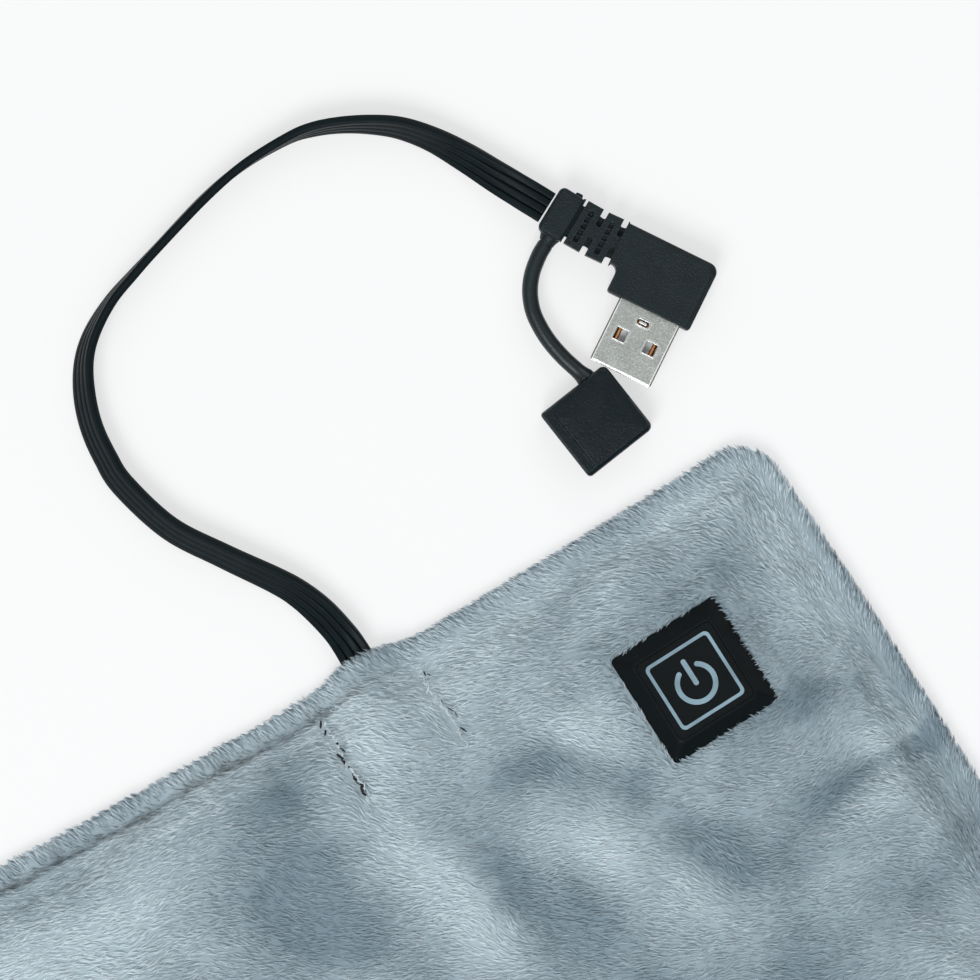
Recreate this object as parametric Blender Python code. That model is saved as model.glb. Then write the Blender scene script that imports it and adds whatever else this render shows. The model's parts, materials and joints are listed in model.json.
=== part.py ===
"""Plush USB heating pad: two sewn covers, wadding, a heating wire between two cloths, a push-button
controller sunk in one corner, and a flat four-core cable with a right-angle USB-A plug and its cap.

Metres, +Z up. The origin is at the middle of the pad, on the surface that it lies on. +Y points to
the side where the cable leaves, +X to the side of the controller.
"""

import bisect
import math

import bmesh
import bpy
from mathutils import Matrix, Vector

# Pad outline
pad_half_width = 0.090
pad_half_length = 0.130
corner_radius = 0.009
inner_corner_radius = 0.003
side_bulge = 0.0045
end_draw_in = 0.0016
seam_inset = 0.0045

# Layers, from the table up
layer_gap = 0.0003
seat_gap = 0.0001
back_cloth = 0.0021
back_wadding = 0.0020
heater_cloth = 0.0004
wire_diameter = 0.0012
front_wadding = 0.0017
front_cloth = 0.0019
crown_rise = 0.0010

# Sewn edge of the covers
flange_cloth = 0.0010
rim_inset = 0.0008
roll_inset = 0.0022
roll_height = 0.0006
rim_drop = 0.0005
hem_inset = 0.0070
hem_middle_inset = 0.0030
hem_middle_height = 0.00035
hem_edge_height = 0.0010
crown_reach = 0.0605
seam_clearance = 0.0005
edge_thread = 0.0006
tack_thread = 0.0007

# Insets of the inner layers from the pad's outline
back_wadding_inset = 0.010
heater_inset = 0.013
front_wadding_inset = 0.023
layer_end_inset = 0.024
layer_corner = 0.008

# Heating wire
wire_pitch = 0.016
wire_side_inset = 0.024
wire_return_room = 0.006
wire_below_lead = 0.0093
wire_end_inset = 0.020
wire_return_inset = 0.015
wire_return_turn = 0.009
cutout_width = 0.003
cutout_length = 0.007
heater_lead_diameter = 0.0012
heater_lead_pitch = 0.0032
heater_lead_drop = 0.0065
lead_slot_margin = 0.0030
controller_lead_diameter = 0.0014
controller_lead_entry = 0.0033

# Cable tunnel and anchor
cable_x = 0.0066
tunnel_half_width = 0.010
tunnel_rise = 0.0024
tunnel_fade_start = 0.010
tunnel_fade_end = 0.026
exit_swell = 0.0022
exit_swell_half_width = 0.0125
exit_swell_fade = 0.012
tack_left_x = -0.0040
tack_right_x = 0.0157
tack_start_inset = 0.0072
tack_length = 0.0148
anchor_width = 0.012
anchor_length = 0.012
anchor_height = 0.0035
anchor_inset = 0.0105
anchor_edge = 0.0006

# Controller
controller_side_inset = 0.0326
controller_end_inset = 0.0334
controller_turn = math.radians(2.6)
controller_corner = 0.0022
base_flange_half = 0.0128
base_flange_height = 0.0017
base_floor = 0.0012
base_wall_half = 0.0096
base_wall = 0.0008
base_wall_reach = 0.0007
bezel_half = 0.0110
bezel_skirt = 0.0010
bezel_height = 0.0034
bezel_top_land = 0.0004
key_opening_half = 0.0080
window_margin = 0.0052
window_lead_room = 0.0078
opening_clearance = 0.0004

# Power key, with what stands on its board
key_clearance = 0.0003
key_proud = 0.0002
key_edge = 0.0003
key_lip = 0.0007
key_lip_height = 0.0006
key_lip_play = 0.0004
key_wall = 0.0008
key_roof = 0.0016
key_travel = 0.0003
board_thickness = 0.0010
board_clearance = 0.0003
switch_half = 0.0030
switch_height = 0.0012
switch_bore = 0.0020
switch_bore_depth = 0.0008
plunger_radius = 0.0017
led_length = 0.0016
led_width = 0.0008
led_height = 0.0006
led_x = 0.0058
led_y = 0.0056
chip_length = 0.0050
chip_width = 0.0040
chip_height = 0.0012
chip_y = 0.0060
pin_edge = 0.0002

# Printed marks on the key
print_height = 0.00015
print_gap = 0.00005
frame_half = 0.00665
frame_line = 0.0007
frame_corner = 0.0014
symbol_radius = 0.0039
symbol_line = 0.0010
symbol_half_gap = math.radians(38)
symbol_bar_top = 0.0046
symbol_bar_bottom = 0.0002
symbol_bar_width = 0.0009
symbol_shift = 0.0003

# Ribbon cable
ribbon_width = 0.0061
ribbon_thickness = 0.00162
ribbon_cores = 4
ribbon_valley_share = 0.5
ribbon_back_share = 0.24
ribbon_stations = 60
ribbon_lift = 0.00003
tunnel_ribbon_lift = 0.0004

# Plug, in its own frame: x runs from the cable to the head's far end, -y along the shell
plug_x = 0.0780
plug_y = 0.1815
plug_turn = math.radians(-56)
plug_thickness = 0.0076
yoke_start = -0.0019
yoke_length = 0.0050
yoke_half_width = 0.0045
yoke_thickness = 0.0064
yoke_corner = 0.0010
yoke_turn = math.radians(-5)
relief_gap = 0.0005
relief_web_gap = 0.0001
relief_slot = 0.0011
relief_segment = 0.0032
relief_half_width = 0.0044
relief_thickness = 0.0054
relief_corner = 0.0004
relief_web_half_width = 0.0026
relief_web_thickness = 0.0034
relief_turn = math.radians(-5)
neck_half_width = 0.0040
neck_length = 0.0018
head_length = 0.0183
head_depth = 0.01275
head_corner = 0.0018
head_small_corner = 0.0006
head_edge = 0.0007
shell_width = 0.0120
shell_thickness = 0.0045
shell_length = 0.0122
shell_wall = 0.0003
shell_corner = 0.0007
shell_insert = 0.0027
shell_clearance = 0.0003
shell_from_end = 0.0018
window_size = 0.0022
window_spread = 0.00295
window_from_head = 0.0061
tongue_thickness = 0.0018
tongue_setback = 0.0008
contact_width = 0.0010
contact_thickness = 0.0002
contact_outer = 0.0035
contact_inner = 0.0010
contact_length = 0.0088
contact_setback = 0.0012
contact_gap = 0.00005

# Cap and its tether
cap_x = 0.06546
cap_y = 0.14553
cap_turn = math.radians(8.5)
cap_width = 0.0145
cap_depth = 0.0147
cap_thickness = 0.0070
cap_corner = 0.0013
cap_edge = 0.0005
cap_rim = 0.0019
cap_rim_proud = 0.0003
cap_cavity_width = 0.0126
cap_cavity_height = 0.0051
cap_cavity_depth = 0.0127
tether_diameter = 0.0029
tether_spacing = 0.0028
cut_overrun = 0.002

# Shares chosen by hand. The crown's are (way in from the seam, height) of its reach and rise.
crown_shares = (
    (0.0, 0.0),
    (0.025, 0.19),
    (0.074, 0.47),
    (0.157, 0.74),
    (0.273, 0.89),
    (0.42, 0.955),
    (0.67, 0.99),
    (1.0, 1.0),
)
end_side_shares = (1.0, 0.82, 0.62, 0.42, -0.28, -0.5, -0.75, -1.0)
tunnel_shares = (1.0, 0.62, 0.34, 0.0, -0.34, -0.62, -1.0)
# The heater leads' way down from the controller to the wire: (way along, way down)
lead_drop_shares = ((0.0, 0.0), (0.18, 0.0), (0.42, 0.5), (0.68, 1.0), (1.0, 1.0))
# Where the ribbon comes down from the pad's edge to the table, and where it rises to the plug
ribbon_leave_shares = (0.06, 0.14)
ribbon_arrive_shares = (0.86, 0.98)
relief_turn_shares = (1.0, 0.6)
# How far the two segments of the strain relief lie off the cable's axis
relief_shifts = (-0.0001, -0.0004)
tether_ball_shares = (0.95, 0.72, 0.4)
long_side_steps = 8
arc_steps = 4
symbol_steps = 20
tack_steps = 5
lead_steps = 8
controller_lead_steps = 22
fine_steps = 12

# The ribbon's route from the pad to the yoke: x, y and how far it is turned on edge, in degrees
ribbon_route = (
    (0.0066, 0.1198, 0),
    (0.0066, 0.1265, 0),
    (0.0066, 0.1310, 6),
    (0.0063, 0.1350, 27.6),
    (0.0052, 0.1400, 32.2),
    (0.0034, 0.1449, 41.6),
    (0.0009, 0.1493, 48),
    (-0.0052, 0.1580, 53.4),
    (-0.0111, 0.1671, 54.2),
    (-0.0145, 0.1779, 53),
    (-0.0148, 0.1840, 54),
    (-0.0142, 0.1900, 55.9),
    (-0.0124, 0.1957, 58),
    (-0.0095, 0.2009, 63.9),
    (-0.0056, 0.2047, 70),
    (0.0001, 0.2080, 78),
    (0.0060, 0.2101, 82),
    (0.0120, 0.2120, 85),
    (0.0240, 0.2156, 84.5),
    (0.0330, 0.2173, 88),
    (0.0420, 0.2175, 93),
    (0.0470, 0.2167, 99.5),
    (0.0520, 0.2148, 104),
    (0.0570, 0.2120, 110.5),
    (0.0612, 0.2088, 117.5),
    (0.0651, 0.2042, 125),
    (0.0686, 0.1985, 139),
    (0.0714, 0.1932, 151),
    (0.0741, 0.1882, 169),
    (0.0757, 0.1853, 178),
    (0.07675, 0.18335, 180),
)
# The tether's route from the yoke to the cap: x and y
tether_route = (
    (0.07290, 0.17760),
    (0.07120, 0.17660),
    (0.06850, 0.17435),
    (0.06650, 0.17160),
    (0.06530, 0.16840),
    (0.06500, 0.16510),
    (0.06520, 0.16190),
    (0.06590, 0.15850),
    (0.06675, 0.15580),
    (0.06750, 0.15355),
)
# The controller's lead from the anchor's side to the base's side, as shares of the way in x, y and z
controller_lead_shares = (
    (0.0, 0.0, 0.0),
    (0.356, 0.04, 0.12),
    (0.645, 0.15, 0.40),
    (0.822, 0.32, 0.72),
    (0.902, 0.55, 0.98),
    (0.918, 0.80, 1.02),
    (0.947, 0.94, 1.0),
    (1.0, 1.0, 1.0),
)

# Places and heights worked out from the sizes
controller_x = pad_half_width - controller_side_inset
controller_y = pad_half_length - controller_end_inset
back_wadding_base = back_cloth + layer_gap
backing_base = back_wadding_base + back_wadding + layer_gap
wire_height = backing_base + heater_cloth + layer_gap + wire_diameter / 2
facing_base = wire_height + wire_diameter / 2 + layer_gap
facing_top = facing_base + heater_cloth
front_wadding_base = facing_top + layer_gap
crown_top = front_wadding_base + front_wadding + layer_gap + front_cloth + crown_rise
flange_base = back_cloth + layer_gap
seam_top = flange_base + flange_cloth
base_bottom = facing_top + layer_gap
bezel_bottom = crown_top + seat_gap
bezel_top = bezel_bottom + bezel_height
ledge_height = bezel_bottom + bezel_skirt
key_top = bezel_top + key_proud
lip_top = ledge_height - key_lip_play
lip_bottom = lip_top - key_lip_height
board_bottom = base_bottom + base_floor + board_clearance
board_top = board_bottom + board_thickness
parts_bottom = board_top + board_clearance
switch_top = parts_bottom + switch_height
bore_floor = switch_top - switch_bore_depth
plunger_bottom = bore_floor + key_travel + seat_gap
plunger_top = lip_bottom - key_clearance / 2
nub_bottom = plunger_top + key_clearance
plug_middle = plug_thickness / 2
relief_start = yoke_start + yoke_length + relief_gap
neck_start = relief_start + 2 * (relief_segment + relief_slot)
head_end = neck_start + head_length
head_back = neck_half_width - head_depth
shell_middle = head_end - shell_from_end - shell_width / 2
shell_start = head_back + shell_insert
shell_end = head_back - shell_length


def clear_scene():
    for old in list(bpy.data.objects):
        bpy.data.objects.remove(old)


def material(name, colour, roughness, metallic=0.0):
    made = bpy.data.materials.new(name)
    made.use_nodes = True
    shader = made.node_tree.nodes["Principled BSDF"]
    shader.inputs["Base Color"].default_value = (*colour, 1.0)
    shader.inputs["Roughness"].default_value = roughness
    shader.inputs["Metallic"].default_value = metallic
    return made


def add_object(name, data, finish, parent=None):
    made = bpy.data.objects.new(name, data)
    bpy.context.scene.collection.objects.link(made)
    data.materials.append(finish)
    made.parent = parent
    return made


def empty(name, x, y, turn):
    made = bpy.data.objects.new(name, None)
    bpy.context.scene.collection.objects.link(made)
    made.location = (x, y, 0)
    made.rotation_euler = (0, 0, turn)
    return made


def loft(name, rings, finish, parent=None, closed=False):
    """A solid whose skin runs through rings of equally many points. The ends are capped unless the last
    ring joins the first."""
    mesh = bmesh.new()
    loops = [[mesh.verts.new(point) for point in ring] for ring in rings]
    count = len(loops[0])
    pairs = list(zip(loops, loops[1:]))
    if closed:
        pairs.append((loops[-1], loops[0]))
    else:
        mesh.faces.new(loops[0])
        mesh.faces.new(loops[-1])
    for lower, upper in pairs:
        for i in range(count):
            j = (i + 1) % count
            mesh.faces.new((lower[i], lower[j], upper[j], upper[i]))
    bmesh.ops.recalc_face_normals(mesh, faces=mesh.faces)
    data = bpy.data.meshes.new(name)
    mesh.to_mesh(data)
    mesh.free()
    data.shade_smooth()
    data.set_sharp_from_angle(angle=math.radians(35))
    return add_object(name, data, finish, parent)


def prism(name, outline, bottom, top, finish, parent=None):
    rings = [[(x, y, z) for x, y in outline] for z in (bottom, top)]
    return loft(name, rings, finish, parent)


def arc(centre_x, centre_y, radius, start, end, steps=arc_steps):
    points = []
    for i in range(steps + 1):
        angle = start + (end - start) * i / steps
        points.append((centre_x + radius * math.cos(angle), centre_y + radius * math.sin(angle)))
    return points


def rounded_box(left, right, low, high, radius, steps=arc_steps):
    quarter = math.pi / 2
    corners = (
        (right - radius, low + radius, -quarter),
        (right - radius, high - radius, 0),
        (left + radius, high - radius, quarter),
        (left + radius, low + radius, 2 * quarter),
    )
    points = []
    for x, y, start in corners:
        points += arc(x, y, radius, start, start + quarter, steps)
    return points


def square_ring(half, radius, height, steps=arc_steps):
    outline = rounded_box(-half, half, -half, half, radius, steps)
    return [(x, y, height) for x, y in outline]


def circle_ring(radius, height, steps=arc_steps):
    """A circle with as many points as square_ring, starting at the same angle."""
    return square_ring(radius, radius, height, steps)


def cut(target, cutter):
    cutter.hide_render = True
    cutter.display_type = "WIRE"
    modifier = target.modifiers.new(cutter.name, "BOOLEAN")
    modifier.object = cutter
    modifier.operation = "DIFFERENCE"


def bevel_edges(target, width, segments=2, angle=math.radians(50)):
    modifier = target.modifiers.new("edges", "BEVEL")
    modifier.width = width
    modifier.segments = segments
    modifier.limit_method = "ANGLE"
    modifier.angle_limit = angle


def smooth_route(points, count):
    """count places at even steps along a Catmull-Rom curve through the points, each a tuple."""
    ends = [tuple(2 * a - b for a, b in zip(points[0], points[1]))]
    ends.append(tuple(2 * a - b for a, b in zip(points[-1], points[-2])))
    knots = [ends[0], *points, ends[1]]
    fine = []
    for k in range(1, len(knots) - 2):
        p0, p1, p2, p3 = knots[k - 1 : k + 3]
        for i in range(fine_steps):
            t = i / fine_steps
            fine.append(
                tuple(
                    b
                    + (c - a) * t / 2
                    + (a - 5 * b / 2 + 2 * c - d / 2) * t**2
                    + (3 * (b - c) - a + d) * t**3 / 2
                    for a, b, c, d in zip(p0, p1, p2, p3)
                )
            )
    fine.append(points[-1])
    reached = [0.0]
    for first, second in zip(fine, fine[1:]):
        reached.append(reached[-1] + math.dist(first[:2], second[:2]))
    places = []
    for i in range(count):
        target = reached[-1] * i / (count - 1)
        k = min(max(bisect.bisect_right(reached, target) - 1, 0), len(fine) - 2)
        share = (target - reached[k]) / (reached[k + 1] - reached[k])
        places.append(tuple(a + (b - a) * share for a, b in zip(fine[k], fine[k + 1])))
    return places


def tube(name, points, diameter, finish, resolution=1, radii=None, ring=False):
    curve = bpy.data.curves.new(name, "CURVE")
    curve.dimensions = "3D"
    curve.bevel_depth = diameter / 2
    curve.bevel_resolution = resolution
    curve.use_fill_caps = not ring
    spline = curve.splines.new("POLY")
    spline.points.add(len(points) - 1)
    spline.use_cyclic_u = ring
    for i, point in enumerate(points):
        spline.points[i].co = (*point, 1)
        spline.points[i].radius = radii[i] if radii else 1
    return add_object(name, curve, finish)


# Pad


def crown_share(distance):
    """The crown's height at this distance in from the seam, as a share of its rise."""
    way = distance / crown_reach
    for (way_0, share_0), (way_1, share_1) in zip(crown_shares, crown_shares[1:]):
        if way < way_1:
            return share_0 + (share_1 - share_0) * max(way - way_0, 0) / (way_1 - way_0)
    return 1.0


def end_columns():
    """Where the outline's points lie along an end, as shares of half its straight run. They are closer
    together over the cable's tunnel."""
    run = pad_half_width - corner_radius
    tunnel = [(cable_x + share * tunnel_half_width) / run for share in tunnel_shares]
    before = [share for share in end_side_shares if share > tunnel[0]]
    after = [share for share in end_side_shares if share < tunnel[-1]]
    return before + tunnel + after


def tunnel_height(column, inset):
    """How far the front cover arches up over the cable, in the outline's column at this inset."""
    off = (column * (pad_half_width - corner_radius) - cable_x) / tunnel_half_width
    fade = (tunnel_fade_end - inset) / (tunnel_fade_end - tunnel_fade_start)
    return tunnel_rise * math.cos(math.pi / 2 * min(abs(off), 1)) ** 2 * min(max(fade, 0), 1)


def swell_at_exit(column, inset):
    """How far the pad's end stands out where the cable leaves it."""
    off = (column * (pad_half_width - corner_radius) - cable_x) / exit_swell_half_width
    fade = max(1 - inset / exit_swell_fade, 0)
    return exit_swell * fade * math.cos(math.pi / 2 * min(abs(off), 1)) ** 2


def pad_ring(inset, height, arched=False):
    """The pad's outline drawn in by inset, at this height, anticlockwise from the lower right."""
    radius = max(corner_radius - inset, inner_corner_radius)
    run_x = pad_half_width - inset - radius
    run_y = pad_half_length - inset - radius
    columns = end_columns()
    points = []
    for side in (1, -1):
        for i in range(long_side_steps + 1):
            share = 2 * i / long_side_steps - 1
            x = pad_half_width - inset + side_bulge * (1 - share**2)
            points.append((side * x, side * share * run_y, height))
        start = 0 if side > 0 else math.pi
        corner = arc(side * run_x, side * run_y, radius, start, start + math.pi / 2)
        points += [(x, y, height) for x, y in corner[1:-1]]
        for column in columns if side > 0 else reversed(columns):
            y = side * (pad_half_length - inset - end_draw_in * (1 - column**2))
            if side > 0:
                y += swell_at_exit(column, inset)
            lift = tunnel_height(column, inset) if arched and side > 0 else 0
            points.append((column * run_x, y, height + lift))
        corner = arc(-side * run_x, side * run_y, radius, start + math.pi / 2, start + math.pi)
        points += [(x, y, height) for x, y in corner[1:-1]]
    return points


def cover_top(inset):
    return seam_top + (crown_top - seam_top) * crown_share(inset - seam_inset)


def front_cover_rings():
    insets = [seam_inset + share * crown_reach for share, _ in crown_shares]
    outer = [pad_ring(inset, cover_top(inset), True) for inset in reversed(insets)]
    outer.append(pad_ring(roll_inset, seam_top + roll_height, True))
    outer.append(pad_ring(rim_inset / 2, seam_top, True))
    outer.append(pad_ring(0, seam_top - rim_drop, True))
    inner = [pad_ring(rim_inset, flange_base, True)]
    inner.append(pad_ring(seam_inset + seam_clearance, flange_base, True))
    for inset in insets[2:]:
        inner.append(pad_ring(inset, cover_top(inset) - front_cloth, True))
    return outer + inner


def box_cutter(name, left, right, low, high, bottom, top, parent=None):
    outline = ((left, low), (right, low), (right, high), (left, high))
    return prism(name, outline, bottom, top, finishes["rubber"], parent)


def build_covers(controller):
    front = loft("front_cover", front_cover_rings(), finishes["plush"])
    half = base_wall_half + opening_clearance
    cutter = box_cutter(
        "opening_cutter", -half, half, -half, half, flange_base, crown_top + cut_overrun, controller
    )
    cut(front, cutter)
    back_rings = [
        pad_ring(hem_inset, 0),
        pad_ring(hem_middle_inset, hem_middle_height),
        pad_ring(0, hem_edge_height),
        pad_ring(rim_inset, back_cloth),
    ]
    loft("back_cover", back_rings, finishes["plush"])
    thread_height = seam_top + layer_gap + edge_thread / 2
    path = pad_ring(seam_inset, thread_height, True)
    tube("edge_stitching", path, edge_thread, finishes["thread"], ring=True)
    for name, x in (("bartack_left", tack_left_x), ("bartack_right", tack_right_x)):
        points = []
        for i in range(tack_steps + 1):
            inset = tack_start_inset + tack_length * i / tack_steps
            y = pad_half_length - end_draw_in - inset
            points.append((x, y, cover_top(inset) + layer_gap + tack_thread))
        tube(name, points, tack_thread, finishes["thread"])


def layer(name, inset, base, thickness, finish):
    outline = rounded_box(
        inset - pad_half_width,
        pad_half_width - inset,
        inset + end_draw_in - pad_half_length,
        pad_half_length - layer_end_inset,
        layer_corner,
    )
    return prism(name, outline, base, base + thickness, finish)


def build_layers(controller):
    layer("wadding_back", back_wadding_inset, back_wadding_base, back_wadding, finishes["wadding"])
    layer("heater_backing", heater_inset, backing_base, heater_cloth, finishes["nonwoven"])
    facing = layer("heater_facing", heater_inset, facing_base, heater_cloth, finishes["nonwoven"])
    front = layer(
        "wadding_front", front_wadding_inset, front_wadding_base, front_wadding, finishes["wadding"]
    )
    slot_half = heater_lead_pitch / 2 + lead_slot_margin
    slot_top = -base_flange_half + layer_gap
    slot_bottom = -base_flange_half - heater_lead_drop
    slot = box_cutter(
        "slot_cutter",
        -slot_half,
        slot_half,
        slot_bottom,
        slot_top,
        wire_height,
        facing_top + cut_overrun,
        controller,
    )
    cut(facing, slot)
    window_half = base_flange_half + window_margin
    window_low = -base_flange_half - window_lead_room
    window_high = pad_half_length - controller_y
    window = box_cutter(
        "window_cutter",
        -window_half,
        window_half,
        window_low,
        window_high,
        front_wadding_base - cut_overrun,
        crown_top,
        controller,
    )
    cut(front, window)


def heater_lead_places():
    """Where the two heater leads meet the wire's level: x of each, and y."""
    low = controller_y - base_flange_half - heater_lead_drop
    middle = controller_x + base_flange_half * math.sin(controller_turn)
    return middle - heater_lead_pitch / 2, middle + heater_lead_pitch / 2, low


def heating_wire_path():
    """Rows that run to and fro, then one line back up the right side to the thermal cut-out."""
    left_lead, right_lead, lead_y = heater_lead_places()
    turn = wire_pitch / 2
    left = wire_side_inset - pad_half_width
    right = pad_half_width - wire_side_inset - wire_return_room
    first_row = lead_y - wire_below_lead
    pairs = int((first_row + pad_half_length - wire_end_inset) / (2 * wire_pitch) + 0.5)
    rows = 2 * pairs
    points = [(left_lead, lead_y - layer_gap)]
    points += arc(left_lead - turn / 2, first_row + turn / 2, turn / 2, 0, -math.pi / 2, 3)
    for row in range(rows - 1):
        y = first_row - (row + 0.5) * wire_pitch
        if row % 2 == 0:
            points += arc(left, y, turn, math.pi / 2, 3 * math.pi / 2)
        else:
            points += arc(right, y, turn, math.pi / 2, -math.pi / 2)
    last_row = first_row - (rows - 1) * wire_pitch
    corner_x = pad_half_width - wire_return_inset - wire_return_turn
    points += arc(corner_x, last_row + wire_return_turn, wire_return_turn, -math.pi / 2, 0)
    cutout_low = lead_y - layer_gap - cutout_length
    points += arc(corner_x, cutout_low - wire_return_turn - turn, wire_return_turn, 0, math.pi / 2)[:-1]
    points += [(corner_x - turn / 2, cutout_low - turn)]
    bend_x = right_lead + turn / 2
    points += arc(bend_x, cutout_low - turn / 2, turn / 2, 3 * math.pi / 2, math.pi, 3)
    points += [(right_lead, cutout_low - layer_gap)]
    return [(x, y, wire_height) for x, y in points]


def build_heater():
    tube("heating_wire", heating_wire_path(), wire_diameter, finishes["wire"])
    left_lead, right_lead, lead_y = heater_lead_places()
    outline = rounded_box(
        right_lead - cutout_width / 2,
        right_lead + cutout_width / 2,
        lead_y - layer_gap - cutout_length,
        lead_y - layer_gap,
        heater_cloth,
    )
    low = wire_height - wire_diameter / 2
    prism("thermal_cutout", outline, low, low + wire_diameter, finishes["cutout"])
    lead_top = controller_y - base_flange_half - layer_gap
    out_height = base_bottom + base_flange_height / 2
    for i, x in enumerate((left_lead, right_lead)):
        route = []
        for along, down in lead_drop_shares:
            y = lead_top + (lead_y - lead_top) * along
            route.append((x, y, out_height + (wire_height - out_height) * down))
        path = smooth_route(route, lead_steps + 1)
        tube(f"heater_lead_{i + 1}", path, heater_lead_diameter, finishes["lead"])


# Controller


def chip_outline(x, y, length, width):
    left = x - length / 2
    low = y - width / 2
    return rounded_box(left, left + length, low, low + width, pin_edge, 2)


def build_controller(controller):
    corner = controller_corner
    inner_corner = corner / 2
    base_rings = [
        square_ring(base_flange_half, corner, base_bottom),
        square_ring(base_flange_half, corner, base_bottom + base_flange_height),
        square_ring(base_wall_half, corner, base_bottom + base_flange_height),
        square_ring(base_wall_half, corner, bezel_bottom + base_wall_reach),
        square_ring(base_wall_half - base_wall, inner_corner, bezel_bottom + base_wall_reach),
        square_ring(base_wall_half - base_wall, inner_corner, base_bottom + base_floor),
    ]
    loft("controller_base", base_rings, finishes["housing"], controller)
    cavity_half = base_wall_half + layer_gap
    bezel_rings = [
        square_ring(bezel_half, corner, bezel_bottom),
        square_ring(bezel_half, corner, ledge_height),
        square_ring(key_opening_half + bezel_top_land, inner_corner, bezel_top),
        square_ring(key_opening_half, inner_corner, bezel_top),
        square_ring(key_opening_half, inner_corner, ledge_height),
        square_ring(cavity_half, corner, ledge_height),
        square_ring(cavity_half, corner, bezel_bottom),
    ]
    loft("controller_bezel", bezel_rings, finishes["rubber"], controller, closed=True)
    board_half = base_wall_half - base_wall - board_clearance
    outline = rounded_box(-board_half, board_half, -board_half, board_half, inner_corner)
    prism("circuit_board", outline, board_bottom, board_top, finishes["board"], controller)
    for name, x in (("led_low", -led_x), ("led_medium", 0), ("led_high", led_x)):
        outline = chip_outline(x, led_y, led_length, led_width)
        prism(name, outline, parts_bottom, parts_bottom + led_height, finishes["led"], controller)
    outline = chip_outline(0, -chip_y, chip_length, chip_width)
    prism("control_chip", outline, parts_bottom, parts_bottom + chip_height, finishes["chip"], controller)
    switch_rings = [
        square_ring(switch_half, pin_edge, parts_bottom),
        square_ring(switch_half, pin_edge, switch_top),
        circle_ring(switch_bore, switch_top),
        circle_ring(switch_bore, bore_floor),
    ]
    loft("switch_body", switch_rings, finishes["chip"], controller)


def build_plunger(plunger_frame):
    rings = [circle_ring(plunger_radius, plunger_bottom), circle_ring(plunger_radius, plunger_top)]
    loft("switch_plunger", rings, finishes["plunger"], plunger_frame)


def build_key(key_frame):
    half = key_opening_half - key_clearance
    corner = controller_corner / 2 - key_clearance
    hollow = half - key_wall
    rings = [
        square_ring(half - key_edge, corner, key_top),
        square_ring(half, corner, key_top - key_edge),
        square_ring(half, corner, lip_top),
        square_ring(half + key_lip, corner, lip_top),
        square_ring(half + key_lip, corner, lip_bottom),
        square_ring(hollow, corner / 2, lip_bottom),
        square_ring(hollow, corner / 2, key_top - key_roof),
        circle_ring(switch_bore, key_top - key_roof),
        circle_ring(switch_bore, nub_bottom),
    ]
    loft("power_key", rings, finishes["rubber"], key_frame)
    low = key_top + print_gap
    high = low + print_height
    inner = frame_half - frame_line
    inner_corner = frame_corner - frame_line
    frame_rings = [
        square_ring(frame_half, frame_corner, low),
        square_ring(frame_half, frame_corner, high),
        square_ring(inner, inner_corner, high),
        square_ring(inner, inner_corner, low),
    ]
    loft("icon_frame", frame_rings, finishes["print"], key_frame, closed=True)
    start = math.pi / 2 + symbol_half_gap
    end = math.pi / 2 + 2 * math.pi - symbol_half_gap
    outer_arc = arc(symbol_shift, -symbol_shift, symbol_radius, start, end, symbol_steps)
    inner_radius = symbol_radius - symbol_line
    inner_arc = arc(symbol_shift, -symbol_shift, inner_radius, start, end, symbol_steps)
    prism("icon_arc", outer_arc + inner_arc[::-1], low, high, finishes["print"], key_frame)
    bar_half = symbol_bar_width / 2
    bar = (
        (symbol_shift - bar_half, -symbol_bar_bottom - symbol_shift),
        (symbol_shift + bar_half, -symbol_bar_bottom - symbol_shift),
        (symbol_shift + bar_half, symbol_bar_top - symbol_shift),
        (symbol_shift - bar_half, symbol_bar_top - symbol_shift),
    )
    prism("icon_bar", bar, low, high, finishes["print"], key_frame)


# Cable


def ribbon_section():
    """The ribbon's outline, as (across, up) points: a flat back for each core and a valley between."""
    pitch = ribbon_width / ribbon_cores
    top = ribbon_thickness / 2
    upper = []
    for core in range(ribbon_cores):
        middle = (core + 0.5) * pitch - ribbon_width / 2
        upper.append((middle - ribbon_back_share * pitch, top))
        upper.append((middle + ribbon_back_share * pitch, top))
        if core < ribbon_cores - 1:
            upper.append((middle + pitch / 2, top * ribbon_valley_share))
    lower = [(across, -up) for across, up in reversed(upper)]
    return [(-ribbon_width / 2, 0), *upper, (ribbon_width / 2, 0), *lower]


def eased(share, start, end):
    """0 before start, 1 after end, and a smooth step between."""
    way = min(max((share - start) / (end - start), 0), 1)
    return way * way * (3 - 2 * way)


def ribbon_height(share, turn):
    """The middle's height where the ribbon is turned this far on edge, share of the way along it."""
    reach = [across * math.sin(turn) + up * math.cos(turn) for across, up in ribbon_section()]
    on_floor = max(reach) + ribbon_lift
    exit_height = back_cloth + tunnel_ribbon_lift + ribbon_thickness / 2
    leave = 1 - eased(share, *ribbon_leave_shares)
    arrive = eased(share, *ribbon_arrive_shares)
    height = on_floor + (max(exit_height, on_floor) - on_floor) * leave
    return height + (plug_middle - height) * arrive


def build_ribbon():
    places = smooth_route(ribbon_route, ribbon_stations)
    section = ribbon_section()
    centres = []
    for i, (x, y, degrees) in enumerate(places):
        height = ribbon_height(i / (ribbon_stations - 1), math.radians(degrees))
        centres.append(Vector((x, y, height)))
    rings = []
    for i, (_, _, degrees) in enumerate(places):
        ahead = centres[min(i + 1, len(centres) - 1)] - centres[max(i - 1, 0)]
        right = ahead.cross(Vector((0, 0, 1))).normalized()
        turn = Matrix.Rotation(-math.radians(degrees), 3, ahead.normalized())
        across = turn @ right
        up = across.cross(ahead).normalized()
        rings.append([centres[i] + across * a + up * u for a, u in section])
    loft("ribbon_cable", rings, finishes["cable"])


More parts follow.
